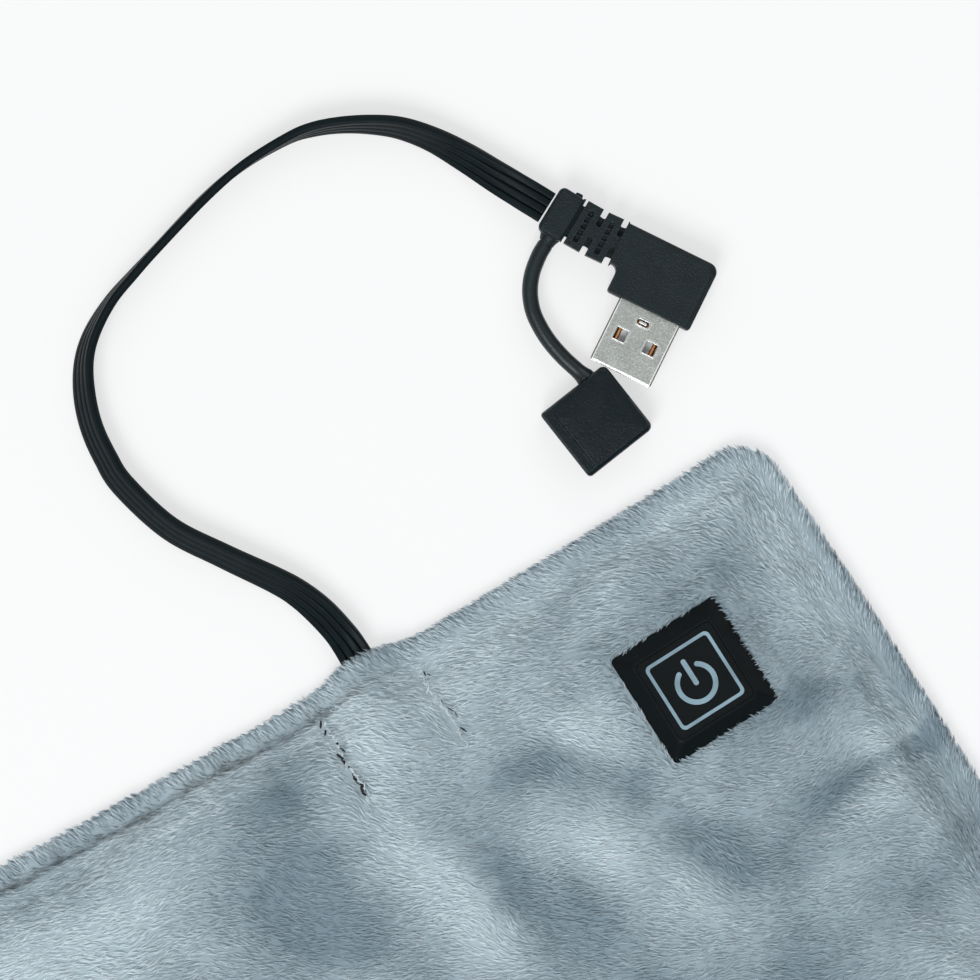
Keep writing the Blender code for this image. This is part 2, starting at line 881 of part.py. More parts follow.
def controller_lead_route():
    """From the middle of the anchor's right side to the left side of the controller's base."""
    reach = base_flange_half + layer_gap
    cos = math.cos(controller_turn)
    sin = math.sin(controller_turn)
    start = (
        cable_x + anchor_width / 2 + layer_gap,
        pad_half_length - anchor_inset - anchor_length / 2,
        back_cloth + layer_gap + anchor_height / 2,
    )
    end = (
        controller_x - reach * cos - controller_lead_entry * sin,
        controller_y - reach * sin + controller_lead_entry * cos,
        base_bottom + base_flange_height / 2,
    )
    return [
        tuple(low + (high - low) * share for low, high, share in zip(start, end, shares))
        for shares in controller_lead_shares
    ]


def build_anchor():
    high = pad_half_length - anchor_inset
    outline = rounded_box(
        cable_x - anchor_width / 2, cable_x + anchor_width / 2, high - anchor_length, high, anchor_edge
    )
    low = back_cloth + layer_gap
    prism("cable_anchor", outline, low, low + anchor_height, finishes["rubber"])
    path = smooth_route(controller_lead_route(), controller_lead_steps)
    tube("controller_lead", path, controller_lead_diameter, finishes["lead"])


def block_outline(start, length, half_width, radius, turn, shift=0):
    """A rounded rectangle, shift off the cable's axis and turned about its middle."""
    middle = start + length / 2
    points = []
    for x, y in rounded_box(-length / 2, length / 2, -half_width, half_width, radius, 3):
        points.append(
            (
                middle + x * math.cos(turn) - y * math.sin(turn),
                shift + x * math.sin(turn) + y * math.cos(turn),
            )
        )
    return points


def build_yoke(plug):
    outline = block_outline(yoke_start, yoke_length, yoke_half_width, yoke_corner, yoke_turn)
    low = plug_middle - yoke_thickness / 2
    yoke = prism("cable_yoke", outline, low, low + yoke_thickness, finishes["rubber"], plug)
    bevel_edges(yoke, yoke_corner / 2)


def build_relief(plug):
    web_start = yoke_start + yoke_length + relief_web_gap
    web_length = neck_start - relief_web_gap - web_start
    web_low = plug_middle - relief_web_thickness / 2
    web_shift = sum(relief_shifts) / 2
    web_outline = block_outline(
        web_start, web_length, relief_web_half_width, relief_corner, relief_turn / 2, web_shift
    )
    relief = prism(
        "strain_relief", web_outline, web_low, web_low + relief_web_thickness, finishes["rubber"], plug
    )
    low = plug_middle - relief_thickness / 2
    for i in range(2):
        begin = relief_start + i * (relief_segment + relief_slot)
        turn = relief_turn * relief_turn_shares[i]
        outline = block_outline(
            begin, relief_segment, relief_half_width, relief_corner, turn, relief_shifts[i]
        )
        segment = prism(
            f"relief_segment_{i + 1}", outline, low, low + relief_thickness, finishes["rubber"], plug
        )
        segment.hide_render = True
        segment.display_type = "WIRE"
        modifier = relief.modifiers.new(segment.name, "BOOLEAN")
        modifier.object = segment
        modifier.operation = "UNION"


def head_outline():
    """Anticlockwise from the neck's outer corner, in the plug's frame."""
    quarter = math.pi / 2
    wide_start = neck_start + neck_length
    points = [(neck_start, neck_half_width)]
    points += arc(head_end - head_corner, neck_half_width - head_corner, head_corner, quarter, 0)
    small = head_small_corner
    points += arc(head_end - small, head_back + small, small, 0, -quarter, 2)
    points += arc(wide_start + small, head_back + small, small, -quarter, -2 * quarter, 2)
    hollow = neck_length - small
    points += arc(wide_start - hollow, -neck_half_width - hollow, hollow, 0, quarter, 3)
    points.append((neck_start, -neck_half_width))
    return points


def build_head(plug):
    head = prism("plug_head", head_outline(), 0, plug_thickness, finishes["rubber"], plug)
    bevel_edges(head, head_edge)
    half = shell_width / 2 + shell_clearance
    pocket = box_cutter(
        "pocket_cutter",
        shell_middle - half,
        shell_middle + half,
        head_back - cut_overrun,
        shell_start + shell_clearance,
        plug_middle - shell_thickness / 2 - shell_clearance,
        plug_middle + shell_thickness / 2 + shell_clearance,
        plug,
    )
    cut(head, pocket)


def shell_ring(half_width, half_thickness, radius, y):
    outline = rounded_box(-half_width, half_width, -half_thickness, half_thickness, radius, 2)
    return [(shell_middle + x, y, plug_middle + z) for x, z in outline]


def build_shell(plug):
    half = shell_width / 2
    half_z = shell_thickness / 2
    bore = half - shell_wall
    bore_z = half_z - shell_wall
    bore_corner = shell_corner - shell_wall
    rings = [
        shell_ring(half, half_z, shell_corner, shell_start),
        shell_ring(half, half_z, shell_corner, shell_end),
        shell_ring(bore, bore_z, bore_corner, shell_end),
        shell_ring(bore, bore_z, bore_corner, shell_start),
    ]
    shell = loft("usb_shell", rings, finishes["nickel"], plug, closed=True)
    window_y = head_back - window_from_head
    for i, side in enumerate((-1, 1)):
        x = shell_middle + side * window_spread
        window = box_cutter(
            f"window_cutter_{i + 1}",
            x - window_size / 2,
            x + window_size / 2,
            window_y - window_size / 2,
            window_y + window_size / 2,
            -cut_overrun,
            plug_thickness + cut_overrun,
            plug,
        )
        cut(shell, window)
    tongue_low = plug_middle - bore_z + contact_gap
    tongue_half = bore - shell_clearance
    tongue_outline = (
        (shell_middle - tongue_half, shell_end + tongue_setback),
        (shell_middle + tongue_half, shell_end + tongue_setback),
        (shell_middle + tongue_half, shell_start),
        (shell_middle - tongue_half, shell_start),
    )
    tongue_top = tongue_low + tongue_thickness
    prism("usb_tongue", tongue_outline, tongue_low, tongue_top, finishes["tongue"], plug)
    places = (-contact_outer, -contact_inner, contact_inner, contact_outer)
    begin = shell_end + tongue_setback + contact_setback
    for i, place in enumerate(places):
        x = shell_middle + place
        outline = (
            (x - contact_width / 2, begin),
            (x + contact_width / 2, begin),
            (x + contact_width / 2, begin + contact_length),
            (x - contact_width / 2, begin + contact_length),
        )
        low = tongue_top + contact_gap
        prism(f"usb_contact_{i + 1}", outline, low, low + contact_thickness, finishes["gold"], plug)


def cap_ring(x, half_width, low, high, radius):
    outline = rounded_box(-half_width, half_width, low, high, radius, 2)
    return [(x, y, z) for y, z in outline]


def build_cap(cap):
    """The cap, mouth towards -x of its own frame."""
    mouth = -cap_depth / 2
    back = cap_depth / 2
    half = cap_width / 2
    top = cap_thickness
    cavity_half = cap_cavity_width / 2
    cavity_low = (cap_thickness - cap_cavity_height) / 2
    cavity_high = cavity_low + cap_cavity_height
    floor = mouth + cap_cavity_depth
    round_in = cap_corner * (1 - math.sqrt(0.5))
    rings = [
        cap_ring(back, half - cap_corner, cap_edge, top - cap_rim_proud - cap_edge, cap_edge),
        cap_ring(back - round_in, half - round_in, 0, top - cap_rim_proud, cap_edge),
        cap_ring(back - cap_corner, half, 0, top - cap_rim_proud, cap_edge),
        cap_ring(mouth + cap_rim, half, 0, top - cap_rim_proud, cap_edge),
        cap_ring(mouth + cap_rim, half, 0, top, cap_edge),
        cap_ring(mouth, half, 0, top, cap_edge),
        cap_ring(mouth, cavity_half, cavity_low, cavity_high, cap_edge),
        cap_ring(floor, cavity_half, cavity_low, cavity_high, cap_edge),
    ]
    loft("usb_cap", rings, finishes["rubber"], cap)


def build_tether(swing):
    """A rod with a ball end at the yoke, where it swings, and a square end at the cap."""
    length = sum(math.dist(a, b) for a, b in zip(tether_route, tether_route[1:]))
    places = smooth_route(tether_route, 1 + round(length / tether_spacing))
    radius = tether_diameter / 2
    cap_middle = (cap_thickness - cap_rim_proud) / 2
    points = []
    for i, (x, y) in enumerate(places):
        share = i / (len(places) - 1)
        points.append(Vector((x, y, plug_middle + (cap_middle - plug_middle) * share)))
    outward = (points[0] - points[1]).normalized()
    radii = [math.sqrt(1 - share**2) for share in tether_ball_shares]
    ends = [points[0] + outward * radius * share for share in tether_ball_shares]
    path = ends + points
    made = tube("cap_tether", path, tether_diameter, finishes["rubber"], 2, radii + [1] * len(points))
    made.parent = swing
    made.matrix_parent_inverse = Matrix.Translation(-Vector((swing.location.x, swing.location.y, 0)))


finishes = {}


def build_finishes():
    finishes["plush"] = material("plush", (0.36, 0.46, 0.51), 0.95)
    finishes["thread"] = material("thread", (0.42, 0.52, 0.57), 0.8)
    finishes["wadding"] = material("wadding", (0.85, 0.85, 0.83), 0.95)
    finishes["nonwoven"] = material("nonwoven", (0.75, 0.76, 0.74), 0.9)
    finishes["wire"] = material("wire", (0.55, 0.08, 0.06), 0.5)
    finishes["lead"] = material("lead", (0.05, 0.05, 0.06), 0.5)
    finishes["cutout"] = material("cutout", (0.25, 0.25, 0.27), 0.4)
    finishes["housing"] = material("housing", (0.03, 0.035, 0.038), 0.5)
    finishes["rubber"] = material("rubber", (0.014, 0.02, 0.024), 0.6)
    finishes["cable"] = material("cable", (0.013, 0.019, 0.021), 0.5)
    finishes["print"] = material("print", (0.25, 0.38, 0.45), 0.6)
    finishes["board"] = material("board", (0.02, 0.16, 0.06), 0.4)
    finishes["chip"] = material("chip", (0.02, 0.02, 0.02), 0.4)
    finishes["plunger"] = material("plunger", (0.75, 0.74, 0.7), 0.4)
    finishes["led"] = material("led", (0.9, 0.85, 0.6), 0.2)
    finishes["nickel"] = material("nickel", (0.62, 0.61, 0.58), 0.3, 1.0)
    finishes["tongue"] = material("tongue", (0.45, 0.52, 0.56), 0.5)
    finishes["gold"] = material("gold", (0.9, 0.6, 0.2), 0.25, 1.0)


def main():
    clear_scene()
    build_finishes()
    controller = empty("controller_frame", controller_x, controller_y, controller_turn)
    key_frame = empty("key_frame", controller_x, controller_y, controller_turn)
    plunger_frame = empty("plunger_frame", controller_x, controller_y, controller_turn)
    plug = empty("plug_frame", plug_x, plug_y, plug_turn)
    swing = empty("cap_swing", tether_route[0][0], tether_route[0][1], 0)
    cap = empty("cap_frame", cap_x - swing.location.x, cap_y - swing.location.y, cap_turn)
    cap.parent = swing
    build_covers(controller)
    build_layers(controller)
    build_heater()
    build_controller(controller)
    build_plunger(plunger_frame)
    build_key(key_frame)
    build_anchor()
    build_ribbon()
    build_yoke(plug)
    build_relief(plug)
    build_head(plug)
    build_shell(plug)
    build_cap(cap)
    build_tether(swing)


main()
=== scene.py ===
"""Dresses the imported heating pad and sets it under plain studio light.

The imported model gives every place, body and joint. The pad's cover is a padded body that a short cloth
simulation swells, and its pile is made of fine tapered blades. The ribbon cable, the moulded plug, the metal shell
and the tethered cap are built anew in full detail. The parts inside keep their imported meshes.

All lengths are in metres, but for the tables of folds and patches, which are in millimetres. The plug's pieces are
built in the plug's own frame, where x runs from the cable to the head's far end and -y along the metal shell. The
cap's are built in the cap's own frame, mouth towards -x.
"""

import json
import logging
import math
from collections.abc import Callable, Iterable, Sequence
from dataclasses import dataclass
from enum import Enum
from typing import Any

import bmesh
import bpy
import numpy as np
from mathutils import Matrix, Vector
from mathutils.kdtree import KDTree


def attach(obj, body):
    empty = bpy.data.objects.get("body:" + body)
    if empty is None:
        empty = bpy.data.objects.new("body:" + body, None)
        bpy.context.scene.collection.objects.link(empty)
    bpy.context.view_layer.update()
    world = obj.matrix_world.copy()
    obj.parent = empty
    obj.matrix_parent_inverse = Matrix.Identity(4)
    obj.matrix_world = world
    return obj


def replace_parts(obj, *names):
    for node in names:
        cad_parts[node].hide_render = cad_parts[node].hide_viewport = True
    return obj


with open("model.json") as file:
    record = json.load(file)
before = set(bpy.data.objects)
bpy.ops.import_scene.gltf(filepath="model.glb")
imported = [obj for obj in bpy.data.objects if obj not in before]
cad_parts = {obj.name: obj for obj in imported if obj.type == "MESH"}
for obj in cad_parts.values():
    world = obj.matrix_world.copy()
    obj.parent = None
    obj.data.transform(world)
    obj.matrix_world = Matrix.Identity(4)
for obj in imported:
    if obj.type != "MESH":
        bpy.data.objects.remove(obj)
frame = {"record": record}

log = logging.getLogger("heating_pad")

Array = np.ndarray
Colour = tuple[float, float, float]
Item = bpy.types.Object
Point = tuple[float, float]
Socket = bpy.types.NodeSocket
# x, y and a turn in degrees
Place = tuple[float, float, float]

UP = Vector((0, 0, 1))


class Body(Enum):
    """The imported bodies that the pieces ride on."""

    PAD = "pad"
    KEY = "key"
    CAP = "cap"


# Nodes and effects


class Tree:
    """Places nodes in one tree and joins their sockets."""

    def __init__(self, tree: bpy.types.NodeTree) -> None:
        """Works on this tree."""
        self.tree = tree

    def add(self, kind: str, inputs: dict[Any, Any] | None = None, **settings: Any) -> bpy.types.Node:
        """Adds a node.

        Args:
            kind: The node's type.
            inputs: What goes into its sockets, by name or number: a socket to join, or a value to set.
            settings: The node's own settings.

        Returns:
            The new node.
        """
        node = self.tree.nodes.new(kind)
        for name, value in settings.items():
            setattr(node, name, value)
        self.feed(node, inputs or {})
        return node

    def feed(self, node: bpy.types.Node, inputs: dict[Any, Any]) -> None:
        """Fills a node's sockets, named or numbered: joins each to a socket, or sets it to a value."""
        for key, value in inputs.items():
            socket = node.inputs[key]
            if isinstance(value, Socket):
                self.tree.links.new(value, socket)
            elif socket.type == "RGBA":
                socket.default_value = (*value[:3], 1.0)
            else:
                socket.default_value = value

    def math(self, operation: str, first: Any, second: Any = 0.0, clamp: bool = False) -> Socket:
        """Joins two values by a sum, product or other operation, and returns the result's socket."""
        node = self.add("ShaderNodeMath", {0: first, 1: second}, operation=operation, use_clamp=clamp)
        return node.outputs[0]

    def spread(self, value: Any, low: float, high: float, out_low: float, out_high: float) -> Socket:
        """Maps a value from one range to another, held at both ends, and returns the result's socket."""
        inputs = {0: value, 1: low, 2: high, 3: out_low, 4: out_high}
        return self.add("ShaderNodeMapRange", inputs, clamp=True).outputs[0]

    def mix(self, share: Any, first: Any, second: Any, blend: str = "MIX") -> Socket:
        """Mixes two colours and returns the result's socket."""
        inputs = {0: share, 6: first, 7: second}
        return self.add("ShaderNodeMix", inputs, data_type="RGBA", blend_type=blend).outputs[2]

    def noise(self, place: Socket, scale: Any, detail: float = 2.0) -> Socket:
        """Adds soft noise at a place and returns its value's socket."""
        inputs = {"Vector": place, "Scale": scale, "Detail": detail}
        return self.add("ShaderNodeTexNoise", inputs).outputs["Fac"]

    def place(self) -> Socket:
        """The place of each point in its own object."""
        return self.add("ShaderNodeTexCoord").outputs["Object"]

    def seen(self) -> Socket:
        """1 for the rays that show a thing: from the camera, in a reflection, or through glass."""
        path = self.add("ShaderNodeLightPath").outputs
        direct = self.math("MAXIMUM", path["Is Camera Ray"], path["Is Glossy Ray"])
        return self.math("MAXIMUM", direct, path["Is Transmission Ray"])


class Effects:
    """The shared effects, each a node group that is built once."""

    made: dict[str, bpy.types.NodeTree] = {}

    @classmethod
    def group(
        cls,
        name: str,
        inputs: dict[str, Any],
        outputs: dict[str, str],
        build: Callable[[Tree, Any], dict[str, Socket]],
    ) -> bpy.types.NodeTree:
        """Finds an effect's group, or builds it.

        Args:
            name: The effect's name.
            inputs: Each input's name and default, a number or a colour.
            outputs: Each output's name and socket type.
            build: Fills the group, given its tree and input sockets, and returns what its outputs give.

        Returns:
            The group.
        """
        if name in cls.made:
            return cls.made[name]
        tree = bpy.data.node_groups.new(name, "ShaderNodeTree")
        for key, value in inputs.items():
            kind = "NodeSocketColor" if isinstance(value, tuple) else "NodeSocketFloat"
            socket = tree.interface.new_socket(name=key, in_out="INPUT", socket_type=kind)
            socket.default_value = (*value, 1.0) if isinstance(value, tuple) else value
        for key, kind in outputs.items():
            tree.interface.new_socket(name=key, in_out="OUTPUT", socket_type=kind)
        graph = Tree(tree)
        graph.add("NodeGroupOutput", build(graph, graph.add("NodeGroupInput").outputs))
        cls.made[name] = tree
        return tree

    @classmethod
    def mould_grain(cls) -> bpy.types.NodeTree:
        """The fine matt grain of moulded plastic and rubber: Roughness and Normal."""

        def build(graph: Tree, given: Any) -> dict[str, Socket]:
            """Two sizes of noise for the height, and a slow one for how matt the face is."""
            place = graph.place()
            fine = graph.noise(place, given["Scale"], 3.0)
            slow = graph.noise(place, graph.math("MULTIPLY", given["Scale"], 0.13), 2.0)
            rough = graph.math("MULTIPLY", graph.math("SUBTRACT", slow, 0.5), given["Spread"])
            speck = graph.math("MULTIPLY", graph.math("SUBTRACT", fine, 0.5), given["Spread"])
            total = graph.math("ADD", graph.math("ADD", given["Roughness"], rough), speck, clamp=True)
            height = graph.math("ADD", fine, graph.math("MULTIPLY", slow, 0.6))
            bump = graph.add("ShaderNodeBump", {"Strength": given["Strength"], "Distance": 0.0001, "Height": height})
            return {"Roughness": total, "Normal": bump.outputs[0]}

        inputs = {"Scale": 4000.0, "Roughness": 0.5, "Spread": 0.2, "Strength": 0.4}
        outputs = {"Roughness": "NodeSocketFloat", "Normal": "NodeSocketVector"}
        return cls.group("Mould Grain", inputs, outputs, build)

    @classmethod
    def rubbed_and_lit_edge(cls) -> bpy.types.NodeTree:
        """Where an outer edge is rubbed, and where a painted highlight runs along it: Mask."""

        def build(graph: Tree, given: Any) -> dict[str, Socket]:
            """Compares a rounded normal with the face's own, and breaks the edge up with noise."""
            place = graph.place()
            round_normal = graph.add("ShaderNodeBevel", {"Radius": given["Radius"]}, samples=4).outputs[0]
            true_normal = graph.add("ShaderNodeNewGeometry").outputs["True Normal"]
            dot = graph.add("ShaderNodeVectorMath", {0: round_normal, 1: true_normal}, operation="DOT_PRODUCT")
            edge = graph.spread(dot.outputs["Value"], 0.995, 0.86, 0.0, 1.0)
            gaps = graph.spread(graph.noise(place, 1400.0, 3.0), 0.35, 0.62, 0.75, 0.0)
            broken = graph.math("SUBTRACT", 1.0, graph.math("MULTIPLY", gaps, given["Breakup"]))
            worn_and_lit = graph.math("MULTIPLY", edge, broken)
            return {"Mask": graph.math("MULTIPLY", worn_and_lit, given["Amount"], clamp=True)}

        inputs = {"Radius": 0.0002, "Amount": 0.5, "Breakup": 1.0}
        return cls.group("Edge Wear And Highlight", inputs, {"Mask": "NodeSocketFloat"}, build)

    @classmethod
    def fibre_tone(cls) -> bpy.types.NodeTree:
        """The uneven colour of fibres: Color."""

        def build(graph: Tree, given: Any) -> dict[str, Socket]:
            """Soft patches, the given tone of the brushed nap, which on the pile holds painted light and shade, and a
            tone of its own for each fibre.
            """
            place = graph.place()
            patch = graph.spread(graph.noise(place, given["Patch Scale"], 2.0), 0.35, 0.65, -0.5, 0.5)
            own = graph.add("ShaderNodeNewGeometry").outputs["Random Per Island"]
            own = graph.math("MULTIPLY", graph.math("SUBTRACT", own, 0.5), given["Own"])
            share = graph.math("ADD", given["Lay"], graph.math("MULTIPLY", patch, given["Patchiness"]))
            share = graph.math("ADD", share, own, clamp=True)
            return {"Color": graph.mix(share, given["Deep"], given["Light"])}

        inputs = {
            "Deep": (0.2, 0.2, 0.2),
            "Light": (0.8, 0.8, 0.8),
            "Patch Scale": 45.0,
            "Patchiness": 0.5,
            "Own": 0.3,
            "Lay": 0.5,
        }
        return cls.group("Fibre Tone", inputs, {"Color": "NodeSocketColor"}, build)


@dataclass(frozen=True)
class Finish:
    """What every finish has: its slot in the record."""

    slot: str

    def material(self) -> bpy.types.Material:
        """The finish's material, built on first use."""
        if self not in FINISHED:
            made = bpy.data.materials.new(f"{self.slot}_{len(FINISHED)}")
            made.use_nodes = True
            graph = Tree(made.node_tree)
            graph.feed(made.node_tree.nodes["Principled BSDF"], self.build(graph))
            FINISHED[self] = made
        return FINISHED[self]

    def build(self, graph: Tree) -> dict[str, Any]:
        """Adds the finish's nodes and returns what its Principled shader takes."""
        raise NotImplementedError


@dataclass(frozen=True)
class Grained(Finish):
    """A hard face with a fine grain, in its own colour and the colour that breaks it up: stains on plated metal, and
    on moulded parts the rubbed edges with a painted highlight.
    """

    colour: Colour = (0.02, 0.02, 0.02)
    # on moulded parts the edges' colour, partly rubbed wear and partly a painted highlight; on plated metal its
    # stains
    other: Colour = (0.05, 0.05, 0.05)
    roughness: float = 0.5
    spread: float = 0.18
    grain: float = 4000.0
    strength: float = 0.35

    def grained(self, graph: Tree) -> dict[str, Socket]:
        """Adds the grain and returns the roughness and normal that it gives."""
        inputs = {"Scale": self.grain, "Roughness": self.roughness, "Spread": self.spread, "Strength": self.strength}
        grain = graph.add("ShaderNodeGroup", inputs, node_tree=Effects.mould_grain()).outputs
        return {"Roughness": grain["Roughness"], "Normal": grain["Normal"]}


@dataclass(frozen=True)
class Moulded(Grained):
    """Moulded or extruded plastic and rubber, whose edges are rubbed to the other colour, which also paints a
    highlight along them.
    """

    edge_wear_and_highlight: float = 0.4
    specular: float = 0.5
    coat: float = 0.0

    def build(self, graph: Tree) -> dict[str, Any]:
        """Adds grain, a slow change of tone, and rubbed edges with a painted highlight."""
        edge_wear_and_highlight = graph.add("ShaderNodeGroup", {"Amount": self.edge_wear_and_highlight}, node_tree=Effects.rubbed_and_lit_edge())
        darker = tuple(channel * 0.82 for channel in self.colour)
        lighter = tuple(channel * 1.14 for channel in self.colour)
        slow = graph.spread(graph.noise(graph.place(), 260.0, 4.0), 0.35, 0.65, 0.0, 1.0)
        tone = graph.mix(slow, darker, lighter)
        return self.grained(graph) | {
            "Base Color": graph.mix(edge_wear_and_highlight.outputs["Mask"], tone, self.other),
            "Specular IOR Level": self.specular,
            "Coat Weight": self.coat,
            "Coat Roughness": 0.2,
        }


@dataclass(frozen=True)
class Plated(Grained):
    """Plated sheet metal, stained with the other colour, with a painted highlight along its edges."""

    # the painted highlight's colour along the edges, and how far in it reaches
    edge_highlight: Colour = (0.97, 0.97, 0.95)
    highlight_radius: float = 0.00045

    def build(self, graph: Tree) -> dict[str, Any]:
        """Adds a grainy satin plate with faint stains and a painted highlight along its edges."""
        place = graph.place()
        inputs = {"Amount": 1.0, "Breakup": 0.2, "Radius": self.highlight_radius}
        edge_wear_and_highlight = graph.add("ShaderNodeGroup", inputs, node_tree=Effects.rubbed_and_lit_edge())
        speckle = graph.spread(graph.noise(place, self.grain * 0.7, 4.0), 0.42, 0.62, 0.0, 0.85)
        cloud = graph.spread(graph.noise(place, 180.0, 3.0), 0.3, 0.7, 0.0, 0.3)
        plate = graph.mix(graph.math("ADD", speckle, cloud, clamp=True), self.colour, self.other)
        colour = graph.mix(edge_wear_and_highlight.outputs["Mask"], plate, self.edge_highlight)
        return self.grained(graph) | {"Base Color": colour, "Metallic": 1.0}


@dataclass(frozen=True)
class Fibrous(Finish):
    """Cloth, wadding and thread seen as a surface."""

    deep: Colour = (0.2, 0.2, 0.2)
    light: Colour = (0.5, 0.5, 0.5)
    patch_scale: float = 45.0
    patchiness: float = 0.5
    own: float = 0.2
    fibre_scale: float = 1500.0
    strength: float = 0.5
    sheen: float = 0.3
    roughness: float = 0.9

    def tone(self, graph: Tree, **more: Socket) -> Socket:
        """Adds the uneven colour of the fibres and returns its socket."""
        inputs = {
            "Deep": self.deep,
            "Light": self.light,
            "Patch Scale": self.patch_scale,
            "Patchiness": self.patchiness,
            "Own": self.own,
        }
        return graph.add("ShaderNodeGroup", inputs | more, node_tree=Effects.fibre_tone()).outputs["Color"]

    def build(self, graph: Tree) -> dict[str, Any]:
        """Adds uneven tone, and a bump of stretched fibres."""
        stretched = graph.add("ShaderNodeMapping", {"Vector": graph.place(), "Scale": (0.35, 1.0, 1.0)}).outputs[0]
        fibre = graph.noise(stretched, self.fibre_scale, 4.0)
        bump = graph.add("ShaderNodeBump", {"Strength": self.strength, "Distance": 0.0004, "Height": fibre})
        return {
            "Base Color": graph.mix(graph.spread(fibre, 0.3, 0.55, 0.0, 1.0), self.deep, self.tone(graph)),
            "Normal": bump.outputs[0],
            "Roughness": self.roughness,
            "Sheen Weight": self.sheen,
            "Sheen Roughness": 0.4,
        }


@dataclass(frozen=True)
class Pile(Fibrous):
    """The plush pile's blades and their ground, with painted shade that darkens them at the root and in the seam's
    crease.
    """

    # painted shade: the share of its tone that a blade keeps at its root, and how far the seam's crease darkens it
    root: float = 0.6
    seam: float = 0.6

    def build(self, graph: Tree) -> dict[str, Any]:
        """Adds a tone for each blade, and painted shade that deepens to the root and in the seam's crease."""
        nap_tone_and_light = graph.add("ShaderNodeAttribute", attribute_name="nap_tone_and_light").outputs["Fac"]
        shade = graph.add("ShaderNodeAttribute", attribute_name="shade").outputs["Fac"]
        return {
            "Base Color": graph.mix(1.0, self.tone(graph, Lay=nap_tone_and_light), shade, "MULTIPLY"),
            "Roughness": self.roughness,
            "Specular IOR Level": 0.3,
            "Sheen Weight": self.sheen,
            "Sheen Roughness": 0.35,
        }


FINISHED: dict[Finish, bpy.types.Material] = {}

# Each moulded finish's second colour is that of its edges: partly rubbed wear, partly a painted highlight
RUBBER = Moulded("rubber", (0.0024, 0.0100, 0.0128), (0.07, 0.095, 0.10), 0.46, 0.36, 2900.0, 1.3, 0.5, 0.27)
FRAME_RUBBER = Moulded("rubber", (0.0010, 0.0033, 0.0042), (0.012, 0.017, 0.019), 0.52, 0.2, 3600.0, 0.4, 0.25, 0.13)
CAP_RUBBER = Moulded("rubber", (0.0010, 0.0068, 0.0098), (0.10, 0.14, 0.15), 0.40, 0.3, 2400.0, 0.8, 0.75, 0.24)
CORD_RUBBER = Moulded("rubber", (0.006, 0.0135, 0.0155), (0.03, 0.04, 0.045), 0.36, 0.15, 2600.0, 0.3, 0.1, 0.42)
CABLE = Moulded("cable", (0.0020, 0.0075, 0.0095), (0.02, 0.027, 0.03), 0.46, 0.15, 2600.0, 0.18, 0.0, 0.13)
# The pile's blades and their ground: painted shade darkens the ground all over, and the blades at the root and in the
# seam's crease
PILE = Pile("plush", (0.3, 0.395, 0.455), (0.79, 0.89, 0.935), 42.0, 0.15, 0.38, sheen=0.12, roughness=0.7, root=0.58)
CLOTH = Fibrous("plush", (0.26, 0.33, 0.37), (0.46, 0.55, 0.59), 42.0, 0.6)
GROUND = Pile("plush", (0.33, 0.445, 0.52), (0.74, 0.89, 0.96), 42.0, 0.15, 0.0, sheen=0.12, roughness=0.8, root=0.62)
THREAD = Fibrous("thread", (0.5, 0.58, 0.62), (0.8, 0.85, 0.87), 200.0, 0.4, 0.4, 5000.0, 0.4)
SEAM_THREAD = Fibrous("thread", (0.2, 0.27, 0.31), (0.36, 0.44, 0.48), 200.0, 0.4, 0.4, 5000.0, 0.4)
# Near-black rods in the bar-tacks' gaps: painted shade
TACK_GAP_SHADE = Fibrous("thread", (0.008, 0.01, 0.011), (0.02, 0.024, 0.027), 300.0, 0.4, 0.4, 5000.0, 0.4, 0.0)
NICKEL = Plated("nickel", (0.53, 0.55, 0.515), (0.39, 0.40, 0.38), 0.36, 0.22, 4200.0, 0.4)
# Near-white rods: a painted highlight along the shell's side edges. Dark brown rods: a painted line of shade just
# outside it.
EDGE_HIGHLIGHT = Moulded("nickel", (0.86, 0.87, 0.86), (0.95, 0.95, 0.94), 0.3, 0.1, 3000.0, 0.1, 0.5)
EDGE_SHADE = Moulded("nickel", (0.10, 0.085, 0.07), (0.2, 0.18, 0.15), 0.4, 0.1, 3000.0, 0.1, 0.3)
GOLD = Plated("gold", (1.0, 0.42, 0.1), (0.7, 0.2, 0.04), 0.25, 0.15, 3000.0, 0.15)

PRINT = Moulded("print", (0.24, 0.355, 0.42), (0.3, 0.42, 0.48), 0.6, 0.1, 5000.0, 0.2, 0.15, 0.3)

